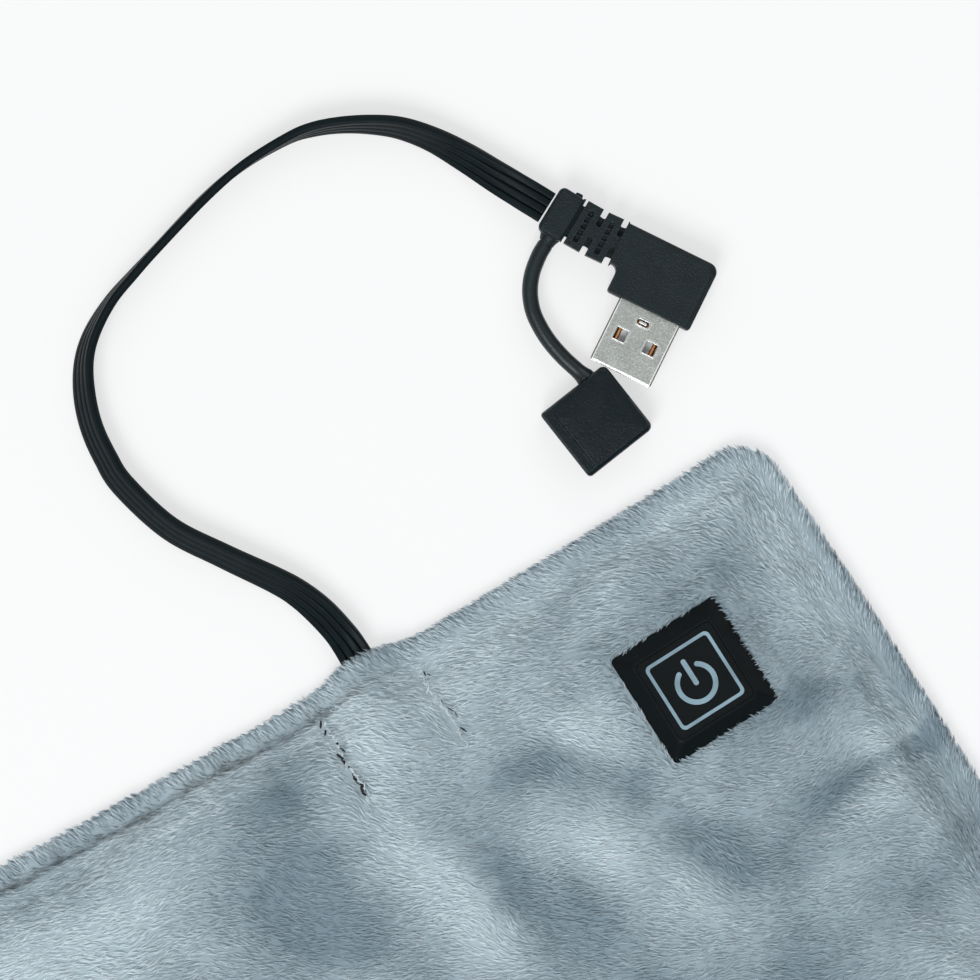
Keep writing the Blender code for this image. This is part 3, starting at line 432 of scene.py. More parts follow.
FINISHES: dict[str, Finish] = {
    "plush": CLOTH,
    "thread": THREAD,
    "wadding": Fibrous("wadding", (0.6, 0.6, 0.58), (0.86, 0.86, 0.84), 90.0, 0.6, 0.2, 900.0, 0.8),
    "nonwoven": Fibrous("nonwoven", (0.5, 0.51, 0.5), (0.78, 0.79, 0.77), 200.0, 0.5, 0.2, 2400.0, 0.4),
    "wire": Moulded("wire", (0.5, 0.07, 0.05), (0.62, 0.2, 0.16), 0.4, 0.15, 3000.0, 0.2, 0.2),
    "cutout": Moulded("cutout", (0.21, 0.21, 0.23), (0.35, 0.35, 0.36), 0.45),
    "lead": Moulded("lead", (0.04, 0.04, 0.045), (0.1, 0.1, 0.1), 0.45, 0.15, 3000.0, 0.2, 0.2),
    "housing": Moulded("housing", (0.028, 0.033, 0.036), (0.07, 0.08, 0.08), 0.5),
    "rubber": RUBBER,
    "cable": CABLE,
    "print": PRINT,
    "board": Moulded("board", (0.02, 0.15, 0.06), (0.3, 0.22, 0.08), 0.35, 0.1, 2500.0, 0.2, 0.6, coat=0.4),
    "chip": Moulded("chip", (0.02, 0.02, 0.021), (0.06, 0.06, 0.06), 0.5),
    "plunger": Moulded("plunger", (0.72, 0.71, 0.67), (0.8, 0.79, 0.76), 0.4),
    "led": Moulded("led", (0.85, 0.8, 0.55), (0.95, 0.93, 0.8), 0.2, 0.05, 3000.0, 0.1, 0.2, coat=0.6),
    "nickel": NICKEL,
    "tongue": Moulded("tongue", (0.92, 0.97, 1.0), (0.95, 0.98, 1.0), 0.45, 0.1, 3000.0, 0.2, 0.1),
    "gold": GOLD,
}


# Shapes


def arc(centre: Point, radius: float, start: float, end: float, steps: int = 6) -> list[Point]:
    """Points along an arc.

    Args:
        centre: Its middle.
        radius: Its radius.
        start: Where it starts, in degrees.
        end: Where it ends, in degrees.
        steps: How many steps it takes.

    Returns:
        The points, both ends among them.
    """
    angles = [math.radians(start + (end - start) * i / steps) for i in range(steps + 1)]
    return [(centre[0] + radius * math.cos(a), centre[1] + radius * math.sin(a)) for a in angles]


def rounded(
    left: float, right: float, low: float, high: float, radii: float | Sequence[float], steps: int = 6
) -> list[Point]:
    """A rectangle with rounded corners, anticlockwise from the lower right.

    Args:
        left: Its lowest x.
        right: Its highest x.
        low: Its lowest y.
        high: Its highest y.
        radii: The corners' radius, or one for each: lower right, upper right, upper left, lower left.
        steps: Steps in each corner.

    Returns:
        The outline.
    """
    a, b, c, d = [radii] * 4 if isinstance(radii, float) else radii
    points = arc((right - a, low + a), a, -90, 0, steps)
    points += arc((right - b, high - b), b, 0, 90, steps)
    points += arc((left + c, high - c), c, 90, 180, steps)
    return points + arc((left + d, low + d), d, 180, 270, steps)


def along(points: Sequence[Sequence[float]], count: int) -> Array:
    """Even steps along a smooth curve through the points.

    Args:
        points: The points that the curve passes through, of any dimension.
        count: How many places to return.

    Returns:
        One row for each place.
    """
    knots = np.array(points, float)
    knots = np.vstack([2 * knots[0] - knots[1], knots, 2 * knots[-1] - knots[-2]])
    steps = np.linspace(0, 1, 24, endpoint=False)[:, None]
    fine = []
    for k in range(1, len(knots) - 2):
        p0, p1, p2, p3 = knots[k - 1 : k + 3]
        curve = 2 * p1 + (p2 - p0) * steps + (2 * p0 - 5 * p1 + 4 * p2 - p3) * steps**2
        fine.append((curve + (3 * p1 - p0 - 3 * p2 + p3) * steps**3) / 2)
    fine = np.vstack([*fine, knots[-2][None]])
    gone = np.concatenate([[0], np.cumsum(np.linalg.norm(np.diff(fine[:, :2], axis=0), axis=1))])
    want = np.linspace(0, gone[-1], count)
    return np.column_stack([np.interp(want, gone, column) for column in fine.T])


def put(name: str, data: Any) -> Item:
    """Puts an object with this data into the scene."""
    item = bpy.data.objects.new(name, data)
    bpy.context.scene.collection.objects.link(item)
    return item


def dress(piece: Item, finish: Finish, body: Body, sharp: float = 40.0) -> Item:
    """Gives a piece its finish, smooth faces and its body.

    Args:
        piece: The piece.
        finish: Its finish.
        body: The body that it rides on.
        sharp: Edges that bend more than this many degrees stay crisp.

    Returns:
        The piece.
    """
    piece.data.materials.clear()
    piece.data.materials.append(finish.material())
    piece.data.shade_smooth()
    piece.data.set_sharp_from_angle(angle=math.radians(sharp))
    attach(piece, body.value)
    return piece


class Solid:
    """A closed body that is cut, joined and rounded, and then becomes a piece."""

    def __init__(self, vertices: Iterable[Sequence[float]], faces: Iterable[Sequence[int]]) -> None:
        """Makes the body.

        Args:
            vertices: Its vertices.
            faces: Its faces, as numbers of vertices.
        """
        mesh = bpy.data.meshes.new("solid")
        mesh.from_pydata([tuple(v) for v in vertices], [], [tuple(f) for f in faces])
        shape = bmesh.new()
        shape.from_mesh(mesh)
        bmesh.ops.recalc_face_normals(shape, faces=shape.faces)
        shape.to_mesh(mesh)
        shape.free()
        self.item = put("solid", mesh)

    @classmethod
    def loft(cls, rings: Sequence[Sequence[Vector]], closed: bool = False) -> "Solid":
        """A body through rings of equal length.

        Args:
            rings: The rings, in order.
            closed: True if the last ring joins the first, as in a tube with a bore. Otherwise both ends are capped.

        Returns:
            The body.
        """
        size = len(rings[0])
        vertices = [point for ring in rings for point in ring]
        faces = []
        for k in range(len(rings) if closed else len(rings) - 1):
            low = k * size
            high = (k + 1) % len(rings) * size
            faces += [(low + i, low + (i + 1) % size, high + (i + 1) % size, high + i) for i in range(size)]
        if not closed:
            faces += [tuple(range(size))[::-1], tuple(range(len(vertices) - size, len(vertices)))]
        return cls(vertices, faces)

    @classmethod
    def layers(cls, layers: Sequence[tuple[Sequence[Point], float]], closed: bool = False) -> "Solid":
        """A body through outlines that each lie at a height."""
        return cls.loft([[Vector((x, y, height)) for x, y in outline] for outline, height in layers], closed)

    @classmethod
    def block(cls, outline: Sequence[Point], bottom: float, top: float) -> "Solid":
        """A straight block on an outline."""
        return cls.layers([(outline, bottom), (outline, top)])

    @classmethod
    def rod(cls, centres: Sequence[Vector], radii: Sequence[float], sides: int = 24) -> "Solid":
        """A round rod that follows a level line.

        Args:
            centres: The line's points.
            radii: The rod's radius at each point.
            sides: How many sides it has.

        Returns:
            The body.
        """
        rings = []
        for i, centre in enumerate(centres):
            ahead = (centres[min(i + 1, len(centres) - 1)] - centres[max(i - 1, 0)]).normalized()
            across = ahead.cross(UP).normalized()
            up = across.cross(ahead)
            turns = [2 * math.pi * k / sides for k in range(sides)]
            rings.append([centre + (across * math.cos(t) + up * math.sin(t)) * radii[i] for t in turns])
        return cls.loft(rings)

    def settle(self) -> "Solid":
        """Applies what has been asked for so far."""
        graph = bpy.context.evaluated_depsgraph_get()
        mesh = bpy.data.meshes.new_from_object(self.item.evaluated_get(graph))
        self.item.modifiers.clear()
        self.item.data = mesh
        return self

    def bevel(self, width: float, segments: int = 3, degrees: float = 40.0) -> "Solid":
        """Rounds every edge that bends more than so many degrees."""
        modifier = self.item.modifiers.new("round", "BEVEL")
        modifier.width = width
        modifier.segments = segments
        modifier.limit_method = "ANGLE"
        modifier.angle_limit = math.radians(degrees)
        modifier.use_clamp_overlap = True
        return self.settle()

    def combine(self, tools: Iterable["Solid"], operation: str) -> "Solid":
        """Joins or cuts with other bodies, which are used up."""
        used = list(tools)
        for tool in used:
            modifier = self.item.modifiers.new("combine", "BOOLEAN")
            modifier.object = tool.item
            modifier.operation = operation
            modifier.solver = "EXACT"
        self.settle()
        for tool in used:
            bpy.data.objects.remove(tool.item)
        return self

    def cut(self, *tools: "Solid") -> "Solid":
        """Takes other bodies out of this one."""
        return self.combine(tools, "DIFFERENCE")

    def join(self, *tools: "Solid") -> "Solid":
        """Adds other bodies to this one."""
        return self.combine(tools, "UNION")

    def gather(self, *others: "Solid") -> "Solid":
        """Takes in other bodies as they are, each still closed, which are used up."""
        shape = bmesh.new()
        for solid in (self, *others):
            shape.from_mesh(solid.item.data)
        shape.to_mesh(self.item.data)
        shape.free()
        for other in others:
            bpy.data.objects.remove(other.item)
        return self

    def warp(self, move: Callable[[Vector], Vector]) -> "Solid":
        """Moves each vertex by a rule."""
        for vertex in self.item.data.vertices:
            vertex.co = move(vertex.co)
        return self

    def piece(
        self, name: str, node: str, finish: Finish, body: Body, place: Matrix | None = None, sharp: float = 40.0
    ) -> Item:
        """Turns the body into a piece of the object.

        Args:
            name: The piece's name.
            node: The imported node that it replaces, or nothing.
            finish: Its finish.
            body: The body that it rides on.
            place: Where its own frame lies.
            sharp: Edges that bend more than this many degrees stay crisp.

        Returns:
            The piece.
        """
        if place is not None:
            self.item.data.transform(place)
        self.item.name = name
        dress(self.item, finish, body, sharp)
        modifier = self.item.modifiers.new("normals", "WEIGHTED_NORMAL")
        modifier.keep_sharp = True
        self.settle()
        self.item.data.name = name
        log.info("%s: %d faces", name, len(self.item.data.polygons))
        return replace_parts(self.item, node) if node else self.item


@dataclass
class Placed:
    """A sub-assembly that is built in a frame of its own."""

    place: Place = (0.0, 0.0, 0.0)

    def frame(self) -> Matrix:
        """Where its own frame lies."""
        x, y, turn = self.place
        return Matrix.Translation((x, y, 0)) @ Matrix.Rotation(math.radians(turn), 4, "Z")


# The studio


@dataclass
class Studio:
    """The floor, the lamps and the camera, which looks straight down."""

    middle: Point = (0.042545, 0.144304)
    level: float = 0.005
    turn: float = -29.8
    view_width: float = 0.1766
    lens: float = 250.0
    sensor: float = 36.0
    floor_half: float = 3.0
    zenith: float = 0.62
    horizon: float = 0.22
    backdrop: float = 0.86
    sky: Colour = (0.93, 0.97, 1.0)
    floor_glow: float = 0.62

    def build(self) -> None:
        """Builds the floor, lamps, world and camera."""
        self.camera()
        self.floor()
        self.lamp("key", (-0.35, -0.85, 1.4), 0.8, 15.5)
        self.lamp("fill", (0.3, 1.05, 0.9), 0.9, 3.2)
        self.world()
        bpy.context.scene.view_settings.view_transform = "Standard"

    def world(self) -> None:
        """A sky that lights softly from above and looks pale to the camera and in reflections."""
        world = bpy.data.worlds.new("studio")
        world.use_nodes = True
        graph = Tree(world.node_tree)
        way = graph.add("ShaderNodeTexCoord").outputs["Generated"]
        up = graph.add("ShaderNodeSeparateXYZ", {0: way}).outputs["Z"]
        shown = graph.math("MULTIPLY", graph.seen(), graph.spread(up, 0.12, 0.32, self.backdrop, 0.0))
        strength = graph.math("MAXIMUM", graph.spread(up, 0.0, 1.0, self.horizon, self.zenith), shown)
        graph.feed(world.node_tree.nodes["Background"], {"Color": self.sky, "Strength": strength})
        bpy.context.scene.world = world

    def camera(self) -> None:
        """Sets the camera over the photo's middle, turned as the photo is."""
        data = bpy.data.cameras.new("camera")
        data.lens = self.lens
        data.sensor_width = self.sensor
        data.clip_end = 20.0
        item = put("camera", data)
        item.location = (*self.middle, self.level + self.view_width * self.lens / self.sensor)
        item.rotation_euler = (0.0, 0.0, math.radians(self.turn))
        bpy.context.scene.camera = item

    def lamp(self, name: str, place: tuple[float, float, float], size: float, power: float) -> None:
        """Adds a soft square lamp that faces the object.

        Args:
            name: The lamp's name.
            place: Where it stands, as the photo sees it: to the right, up the picture, and above the floor.
            size: Its side.
            power: Its power in watts.
        """
        data = bpy.data.lights.new(name, "AREA")
        data.shape = "SQUARE"
        data.size = size
        data.energy = power
        item = put(name, data)
        target = Vector((*self.middle, 0.0))
        item.location = target + Matrix.Rotation(math.radians(self.turn), 3, "Z") @ Vector(place)
        item.rotation_euler = (target - item.location).to_track_quat("-Z", "Y").to_euler()

    def floor(self) -> None:
        """Lays a pale floor that looks white to the camera and keeps the object's shadow."""
        half = self.floor_half
        mesh = bpy.data.meshes.new("floor")
        corners = [(-half, -half, 0), (half, -half, 0), (half, half, 0), (-half, half, 0)]
        mesh.from_pydata(corners, [], [(0, 1, 2, 3)])
        item = put("floor", mesh)
        made = bpy.data.materials.new("floor")
        made.use_nodes = True
        graph = Tree(made.node_tree)
        shader = made.node_tree.nodes["Principled BSDF"]
        graph.feed(shader, {"Base Color": (0.9, 0.9, 0.9), "Roughness": 1.0, "Specular IOR Level": 0.0})
        glow = graph.add("ShaderNodeEmission", {"Color": (1.0, 1.0, 1.0), "Strength": 1.0})
        share = graph.math("MULTIPLY", graph.seen(), self.floor_glow)
        both = graph.add("ShaderNodeMixShader", {0: share, 1: shader.outputs[0], 2: glow.outputs[0]})
        graph.feed(made.node_tree.nodes["Material Output"], {"Surface": both.outputs[0]})
        mesh.materials.append(made)


# The cable

# Its route: x, y and how far it is turned on edge
ROUTE = (
    (0.0066, 0.1198, 0), (0.0066, 0.1265, 0), (0.0066, 0.1310, 6), (0.0063, 0.1350, 27.6),
    (0.0052, 0.1400, 32.2), (0.0034, 0.1449, 41.6), (0.0009, 0.1493, 48), (-0.0052, 0.1580, 53.4),
    (-0.0111, 0.1671, 54.2), (-0.0145, 0.1779, 53), (-0.0148, 0.1840, 54), (-0.0142, 0.1900, 55.9),
    (-0.0124, 0.1957, 58), (-0.0095, 0.2009, 63.9), (-0.0056, 0.2047, 70), (0.0001, 0.2080, 78),
    (0.0060, 0.2101, 82), (0.0120, 0.2120, 85), (0.0240, 0.2156, 84.5), (0.0330, 0.2173, 88),
    (0.0420, 0.2175, 93), (0.0470, 0.2167, 99.5), (0.0520, 0.2148, 104), (0.0570, 0.2120, 110.5),
    (0.0612, 0.2088, 117.5), (0.0651, 0.2042, 125), (0.0686, 0.1985, 139), (0.0714, 0.1932, 151),
    (0.0741, 0.1882, 169), (0.0757, 0.1853, 178), (0.07675, 0.18335, 180),
)


@dataclass
class Ribbon:
    """The flat cable: four cores side by side, which stands on edge for most of its way."""

    width: float = 0.0061
    thickness: float = 0.00162
    cores: int = 4
    lobe_steps: int = 10
    valley_share: float = 0.42
    lobe_power: float = 3.4
    stations: int = 440
    lift: float = 0.00005
    exit_height: float = 0.00331
    plug_height: float = 0.0038
    leave: Point = (0.06, 0.14)
    arrive: Point = (0.86, 0.98)
    exit_point: Point = (0.0066, 0.1198)
    route: tuple[Place, ...] = ROUTE

    def section(self) -> list[Point]:
        """The outline across the cable, as (across, up): a broad back for each core, and narrow valleys."""
        pitch = self.width / self.cores
        top = self.thickness / 2
        upper = []
        for core in range(self.cores):
            middle = (core + 0.5) * pitch - self.width / 2
            for i in range(self.lobe_steps + (core == self.cores - 1)):
                off = 2 * i / self.lobe_steps - 1
                end = core == 0 and i == 0 or core == self.cores - 1 and i == self.lobe_steps
                low = 0.0 if end else self.valley_share
                height = low + (1 - low) * (1 - abs(off) ** self.lobe_power) ** (1 / self.lobe_power)
                upper.append((middle + off * pitch / 2, top * height))
        return upper + [(across, -up) for across, up in upper[-2:0:-1]]

    def height(self, share: float, turn: float, section: Sequence[Point]) -> float:
        """How high the cable's middle lies.

        Args:
            share: The share of the way along it.
            turn: How far it is turned on edge there.
            section: The outline across it.

        Returns:
            The height.
        """

        def eased(limits: Point) -> float:
            """A smooth step between two shares of the way."""
            way = min(max((share - limits[0]) / (limits[1] - limits[0]), 0), 1)
            return way * way * (3 - 2 * way)

        on_floor = max(across * math.sin(turn) + up * math.cos(turn) for across, up in section) + self.lift
        height = on_floor + (max(self.exit_height, on_floor) - on_floor) * (1 - eased(self.leave))
        return height + (self.plug_height - height) * eased(self.arrive)

    def build(self, with_pieces: Sequence[Any]) -> Item:
        """Args:
            with_pieces: Not used.

        Returns:
            The cable.
        """
        section = self.section()
        places = along(self.route, self.stations)
        centres = []
        for (x, y, degrees), share in zip(places, np.linspace(0, 1, self.stations)):
            centres.append(Vector((x, y, self.height(share, math.radians(degrees), section))))
        rings = []
        for i, (_, _, degrees) in enumerate(places):
            ahead = centres[min(i + 1, len(centres) - 1)] - centres[max(i - 1, 0)]
            right = ahead.cross(UP).normalized()
            across = Matrix.Rotation(-math.radians(degrees), 3, ahead.normalized()) @ right
            up = across.cross(ahead).normalized()
            rings.append([centres[i] + across * a + up * u for a, u in section])
        cable = Solid.loft(rings).piece("ribbon_cord", "ribbon_cable", CABLE, Body.PAD, sharp=60.0)
        return cable


# The plug


@dataclass
class Plug(Placed):
    """The yoke, the strain relief, the moulded head and the metal shell with its contacts."""

    place: Place = (0.0780, 0.1815, -56.0)
    middle: float = 0.0038
    yoke: Point = (-0.0019, 0.0031)
    yoke_half: float = 0.0045
    yoke_thickness: float = 0.0064
    yoke_corner: float = 0.0011
    yoke_bevel: float = 0.0007
    yoke_turn: float = -5.0
    # Left, right, low, high and corner
    nub: tuple[float, ...] = (0.0013, 0.0027, 0.0040, 0.0049, 0.0003)
    nub_half: float = 0.0016
    boss_start: float = 0.0014
    boss_end: tuple[float, float, float] = (0.07290, 0.17760, 0.0038)
    boss_radius: float = 0.00145
    # The share of the way along the boss, and how many times its radius it has there
    boss_taper: tuple[Point, ...] = ((0.0, 1.5), (0.3, 1.42), (0.5, 1.22), (0.66, 1.08), (0.82, 1.02), (1.0, 1.0))
    boss_gap: float = 0.00012
    swing_reach: float = 0.004
    segments: Point = (0.0036, 0.0079)
    segment_length: float = 0.0032
    relief_half: float = 0.0044
    relief_thickness: float = 0.0054
    relief_span: Point = (0.0026, 0.0125)
    # How the relief leans: how far along, the turn in degrees and the shift
    leans: tuple[Place, ...] = (
        (0.0031, -5.0, 0.0),
        (0.0052, -5.0, -0.0001),
        (0.0095, -3.0, -0.0004),
        (0.0122, 0.0, -0.0001),
    )
    web_thickness: float = 0.0022
    notch_start: float = 0.0030
    pocket_end: float = 0.0011
    cell_spread: float = 0.00128
    cell_half: Point = (0.00052, 0.00055)
    cell_depth: float = 0.0014
    ledge_depth: float = 0.0008
    neck: float = 0.0122
    neck_half: float = 0.0040
    neck_length: float = 0.0018
    head_end: float = 0.0305
    head_back: float = -0.00875
    head_top: float = 0.0076
    band: float = 0.00115
    shell_middle: float = 0.0227
    shell_half: float = 0.0060
    shell_thickness: float = 0.0045
    shell_wall: float = 0.0003
    shell_span: Point = (-0.02095, -0.00605)
    shell_corner: float = 0.0003
    window_half: float = 0.0011
    window_spread: float = 0.00295
    window_row: float = -0.0147
    stamp: Point = (0.0225, -0.0111)
    stamp_half: Point = (0.00115, 0.0005)
    stamp_rim: float = 0.00017
    tab_half: Point = (0.00075, 0.00022)
    window_rim: float = 0.00011
    tether_turn: float = 210.5
    # Inset and radius of the rods that paint a highlight, and of those that paint a dark line of shade, along the
    # shell's side edges
    highlight_bead: Point = (0.00034, 0.00014)
    shade_line: Point = (0.0001, 0.0001)
    tongue_top: float = 0.0037
    contacts: tuple[float, ...] = (-0.0035, -0.001, 0.001, 0.0035)
    contact_start: float = 0.002
    contact_length: float = 0.0088
    contact_half: float = 0.0005
    contact_crown: float = 0.00032

    def build(self) -> list[Item]:
        """Builds the plug's pieces and returns them."""
        pieces = [self.build_yoke(), self.build_relief(), self.build_head(), *self.build_shell()]
        return pieces + self.build_contacts()

    def build_yoke(self) -> Item:
        """The moulded band at the cable's end, with the boss that holds the tether."""
        low, high = self.yoke
        centre = (low + high) / 2
        half = (high - low) / 2
        outline = rounded(-half, half, -self.yoke_half, self.yoke_half, self.yoke_corner)
        bottom = self.middle - self.yoke_thickness / 2
        body = Solid.block(outline, bottom, bottom + self.yoke_thickness).bevel(self.yoke_bevel, 4)
        turn = Matrix.Rotation(math.radians(self.yoke_turn), 4, "Z")
        body.warp(lambda v: turn @ v + Vector((centre, 0, 0)))
        nub = Solid.block(rounded(*self.nub, 3), self.middle - self.nub_half, self.middle + self.nub_half)
        body.join(nub.bevel(0.00025, 2))
        end = self.frame().inverted() @ Vector(self.boss_end)
        start = Vector((centre, self.boss_start - self.yoke_half, self.middle))
        line = [start.lerp(end, share) for share, _ in self.boss_taper]
        body.join(Solid.rod(line, [self.boss_radius * size for _, size in self.boss_taper]))
        body.cut(self.ball(end, self.boss_radius + self.boss_gap), *self.swing_room(end))
        return body.piece("yoke", "cable_yoke", RUBBER, Body.PAD, self.frame(), 50.0)

    def swing_room(self, pivot: Vector) -> list[Solid]:
        """Rods that free the boss of whatever the tether would meet as it swings about its pivot."""
        rods = []
        for angle in range(-60, 0, 12):
            way = math.radians(self.tether_turn + angle - self.place[2])
            line = [pivot, pivot + self.swing_reach * Vector((math.cos(way), math.sin(way), 0))]
            rods.append(Solid.rod(line, [self.boss_radius + self.boss_gap] * 2))
        return rods

    def ball(self, centre: Vector, radius: float) -> Solid:
        """A ball, for the hollow in which the tether's end turns."""
        steps = 16
        turns = [math.pi * (k + 0.5) / steps - math.pi / 2 for k in range(steps)]
        line = [centre + Vector((radius * math.sin(t), 0, 0)) for t in turns]
        return Solid.rod(line, [radius * math.cos(t) for t in turns])

    def build_relief(self) -> Item:
        """The bend relief: two ribbed segments with rows of cells, open side notches and a web between."""
        half = self.relief_half
        high = self.relief_thickness / 2
        body = Solid.block(rounded(*self.relief_span, -half, half, 0.0004, 3), -high, high)
        first, second = self.segments
        ends = (
            (self.yoke[1], first, 0.0032, -0.001),
            (first + self.segment_length, second, self.notch_start, self.pocket_end),
            (second + self.segment_length, self.neck, self.notch_start, self.pocket_end),
        )
        tools = []
        over = 0.001
        web = self.web_thickness / 2
        for low, top, open_from, blind_from in ends:
            radius = (top - low) / 2 * 0.98
            for side in (1, -1):
                notch = rounded(low, top, open_from, half + over, radius * 0.5, 3)
                blind = rounded(low, top, blind_from, half + over, radius, 5)
                notch, blind = ([(x, side * y) for x, y in outline][::side] for outline in (notch, blind))
                tools.append(Solid.block(notch, -high - over, high + over))
                tools.append(Solid.block(blind, web, high + over))
                tools.append(Solid.block(blind, -high - over, -web))
        for start in self.segments:
            centre = start + self.segment_length / 2
            wide, long = self.cell_half
            reach = 2.5 * self.cell_spread + 0.0002
            cuts = [(rounded(centre - wide, centre + wide, -reach, reach, 0.0002, 3), self.ledge_depth)]
            for k in range(-2, 3):
                y = k * self.cell_spread
                cuts.append((rounded(centre - wide, centre + wide, y - long, y + long, 0.00015, 3), self.cell_depth))
            for up in (1, -1):
                for cut, depth in cuts:
                    tools.append(Solid.block(cut, *sorted((up * (high - depth), up * (high + over)))))
        body.cut(*tools)
        body.bevel(0.00014, 2, 50.0)
        ways, turns, shifts = zip(*self.leans)

        def lean(v: Vector) -> Vector:
            """Bends the relief a little, as it hangs in the photo."""
            turn = math.radians(np.interp(v.x, ways, turns))
            shift = float(np.interp(v.x, ways, shifts))
            return Vector((v.x - v.y * math.sin(turn), shift + v.y * math.cos(turn), v.z + self.middle))

        return body.warp(lean).piece("bend_relief", "strain_relief", RUBBER, Body.PAD, self.frame(), 50.0)

    def head_outline(self, far: float, outer: float, back: float, wide: float, neck: float) -> list[Point]:
        """The head's outline with its sides drawn in.

        Args:
            far: How far its far end is drawn in.
            outer: How far its long outer side is drawn in.
            back: How far the side of the shell is drawn in.
            wide: How far the short side next to the neck is drawn in.
            neck: How far the neck's inner side is drawn in.

        Returns:
            The outline, anticlockwise from the neck's outer corner.
        """
        right = self.head_end - far
        top = self.neck_half - outer
        low = self.head_back + back
        left = self.neck + self.neck_length + wide
        inner = -self.neck_half + neck
        radius = 0.0018 - min(far, outer) * 0.55
        small = 0.0006
        points = [(self.neck, top)]
        points += arc((right - radius, top - radius), radius, 90, 0, 8)
        points += arc((right - small, low + small), small, 0, -90, 5)
        points += arc((left + small, low + small), small, -90, -180, 5)
        fillet = 0.0013 - wide
        points += arc((left - fillet, inner - fillet), fillet, 0, 90, 6)
        points.append((self.neck, inner))
        return points[::-1]

    def build_head(self) -> Item:
        """The right-angle head, with a sloped band along its outer side and far end."""
        band = self.band
        plan = (
            (0.00002, 0.0006, 0.0006, 0.0005, 0.0005, 0.0005),
            (0.00022, 0.00022, 0.00022, 0.0002, 0.0002, 0.0002),
            (0.0006, 0.0, 0.0, 0.0, 0.0, 0.0),
            (0.0064, 0.0, 0.0, 0.0, 0.0, 0.0),
            (0.0067, 0.00012, 0.00012, 0.0, 0.0, 0.0),
            (0.00735, band * 0.86, band, 0.00005, 0.00005, 0.00005),
            (0.00755, band * 0.97, band * 1.12, 0.00018, 0.00018, 0.00018),
            (self.head_top, band * 1.15, band * 1.3, 0.0004, 0.0004, 0.0004),
        )
        body = Solid.layers([(self.head_outline(*insets), height) for height, *insets in plan])
        half = self.shell_half + 0.00012
        high = self.shell_thickness / 2 + 0.00012
        corner = self.shell_corner + 0.0001
        mouth = rounded(self.shell_middle - half, self.shell_middle + half, -high, high, corner)
        ways = (self.head_back - 0.002, self.shell_span[1])
        body.cut(Solid.loft([[Vector((x, y, z + self.middle)) for x, z in mouth] for y in ways]))
        return body.piece("moulded_head", "plug_head", RUBBER, Body.PAD, self.frame(), 32.0)

    def shell_ring(self, inset: float, y: float) -> list[Vector]:
        """The shell's outline drawn in by inset, at y."""
        half = self.shell_half - inset
        high = self.shell_thickness / 2 - inset
        outline = rounded(-half, half, -high, high, max(self.shell_corner - inset, 0.0001))
        return [Vector((self.shell_middle + x, y, self.middle + z)) for x, z in outline]

    def hole(self, place: Sequence[float], grow: float = 0.0) -> list[Point]:
        """The outline of a hole in the shell: its middle, its two half sizes and its corner, all grown."""
        x, y, wide, long, corner = place
        return rounded(x - wide - grow, x + wide + grow, y - long - grow, y + long + grow, corner + grow)

    def rim(self, place: Sequence[float], thick: float, height: float) -> Solid:
        """The rounded rim round a hole in the shell.

        Args:
            place: The hole.
            thick: The rim's half width.
            height: The height of the shell's face.

        Returns:
            The rim.
        """
        rings = []
        for turn in np.linspace(0, 2 * math.pi, 12, endpoint=False):
            outline = self.hole(place, thick * (0.96 + math.cos(turn)))
            rings.append([Vector((x, y, height + thick * 0.8 * math.sin(turn))) for x, y in outline])
        return Solid.loft(rings, closed=True)

    def build_shell(self) -> list[Item]:
        """The folded shell with two windows on each side and one stamped oblong, and rods along its side edges that
        paint a highlight and a dark line of shade.
        """
        end, start = self.shell_span
        wall = self.shell_wall
        lip = ((0.0, 0.0004), (0.00008, 0.00014), (0.00017, 0.0), (wall - 0.00005, 0.0), (wall, 0.0001))
        rows = [(0.0, start), *((inset, end + back) for inset, back in lip), (wall, start)]
        body = Solid.loft([self.shell_ring(*row) for row in rows], closed=True)
        top = self.middle + self.shell_thickness / 2
        size = (self.window_half, self.window_half, 0.00015)
        windows = [(self.shell_middle + side * self.window_spread, self.window_row, *size) for side in (1, -1)]
        stamp = (*self.stamp, *self.stamp_half, self.stamp_half[1])
        body.cut(
            *(Solid.block(self.hole(window), -0.002, 0.01) for window in windows),
            Solid.block(self.hole(stamp), top - wall - 0.0002, top + 0.001),
        )
        tab = Solid.block(self.hole((*self.stamp, *self.tab_half, self.tab_half[1] * 0.9)), top - wall, top - 0.0001)
        levels = (top, 2 * self.middle - top)
        rims = [self.rim(window, self.window_rim, level) for window in windows for level in levels]
        body.gather(self.rim(stamp, self.stamp_rim, top), tab.bevel(0.00005, 2), *rims)
        shell = body.piece("metal_shell", "usb_shell", NICKEL, Body.PAD, self.frame(), 35.0)
        edges = self.edge_rods(*self.highlight_bead).piece("shell_edge_highlight", "", EDGE_HIGHLIGHT, Body.PAD, self.frame(), 60.0)
        folds = self.edge_rods(*self.shade_line).piece("shell_edge_shade", "", EDGE_SHADE, Body.PAD, self.frame(), 60.0)
        return [shell, edges, folds]

    def edge_rods(self, inset: float, radius: float) -> Solid:
        """Four rods that run along the shell's side edges, on both faces, which by their finish paint either a
        highlight or a dark line of shade.

        Args:
            inset: How far their middle lies inside the shell's side.
            radius: Their radius.

        Returns:
            The rods as one solid.
        """
        end, start = self.shell_span
        rods = []
        for side, face in ((1, 1), (-1, 1), (1, -1), (-1, -1)):
            x = self.shell_middle + side * (self.shell_half - inset)
            level = self.middle + face * (self.shell_thickness / 2 - 0.55 * radius)
            rods.append(Solid.rod([Vector((x, y, level)) for y in (end + 0.0002, start)], [radius] * 2, 12))
        return rods[0].gather(*rods[1:])

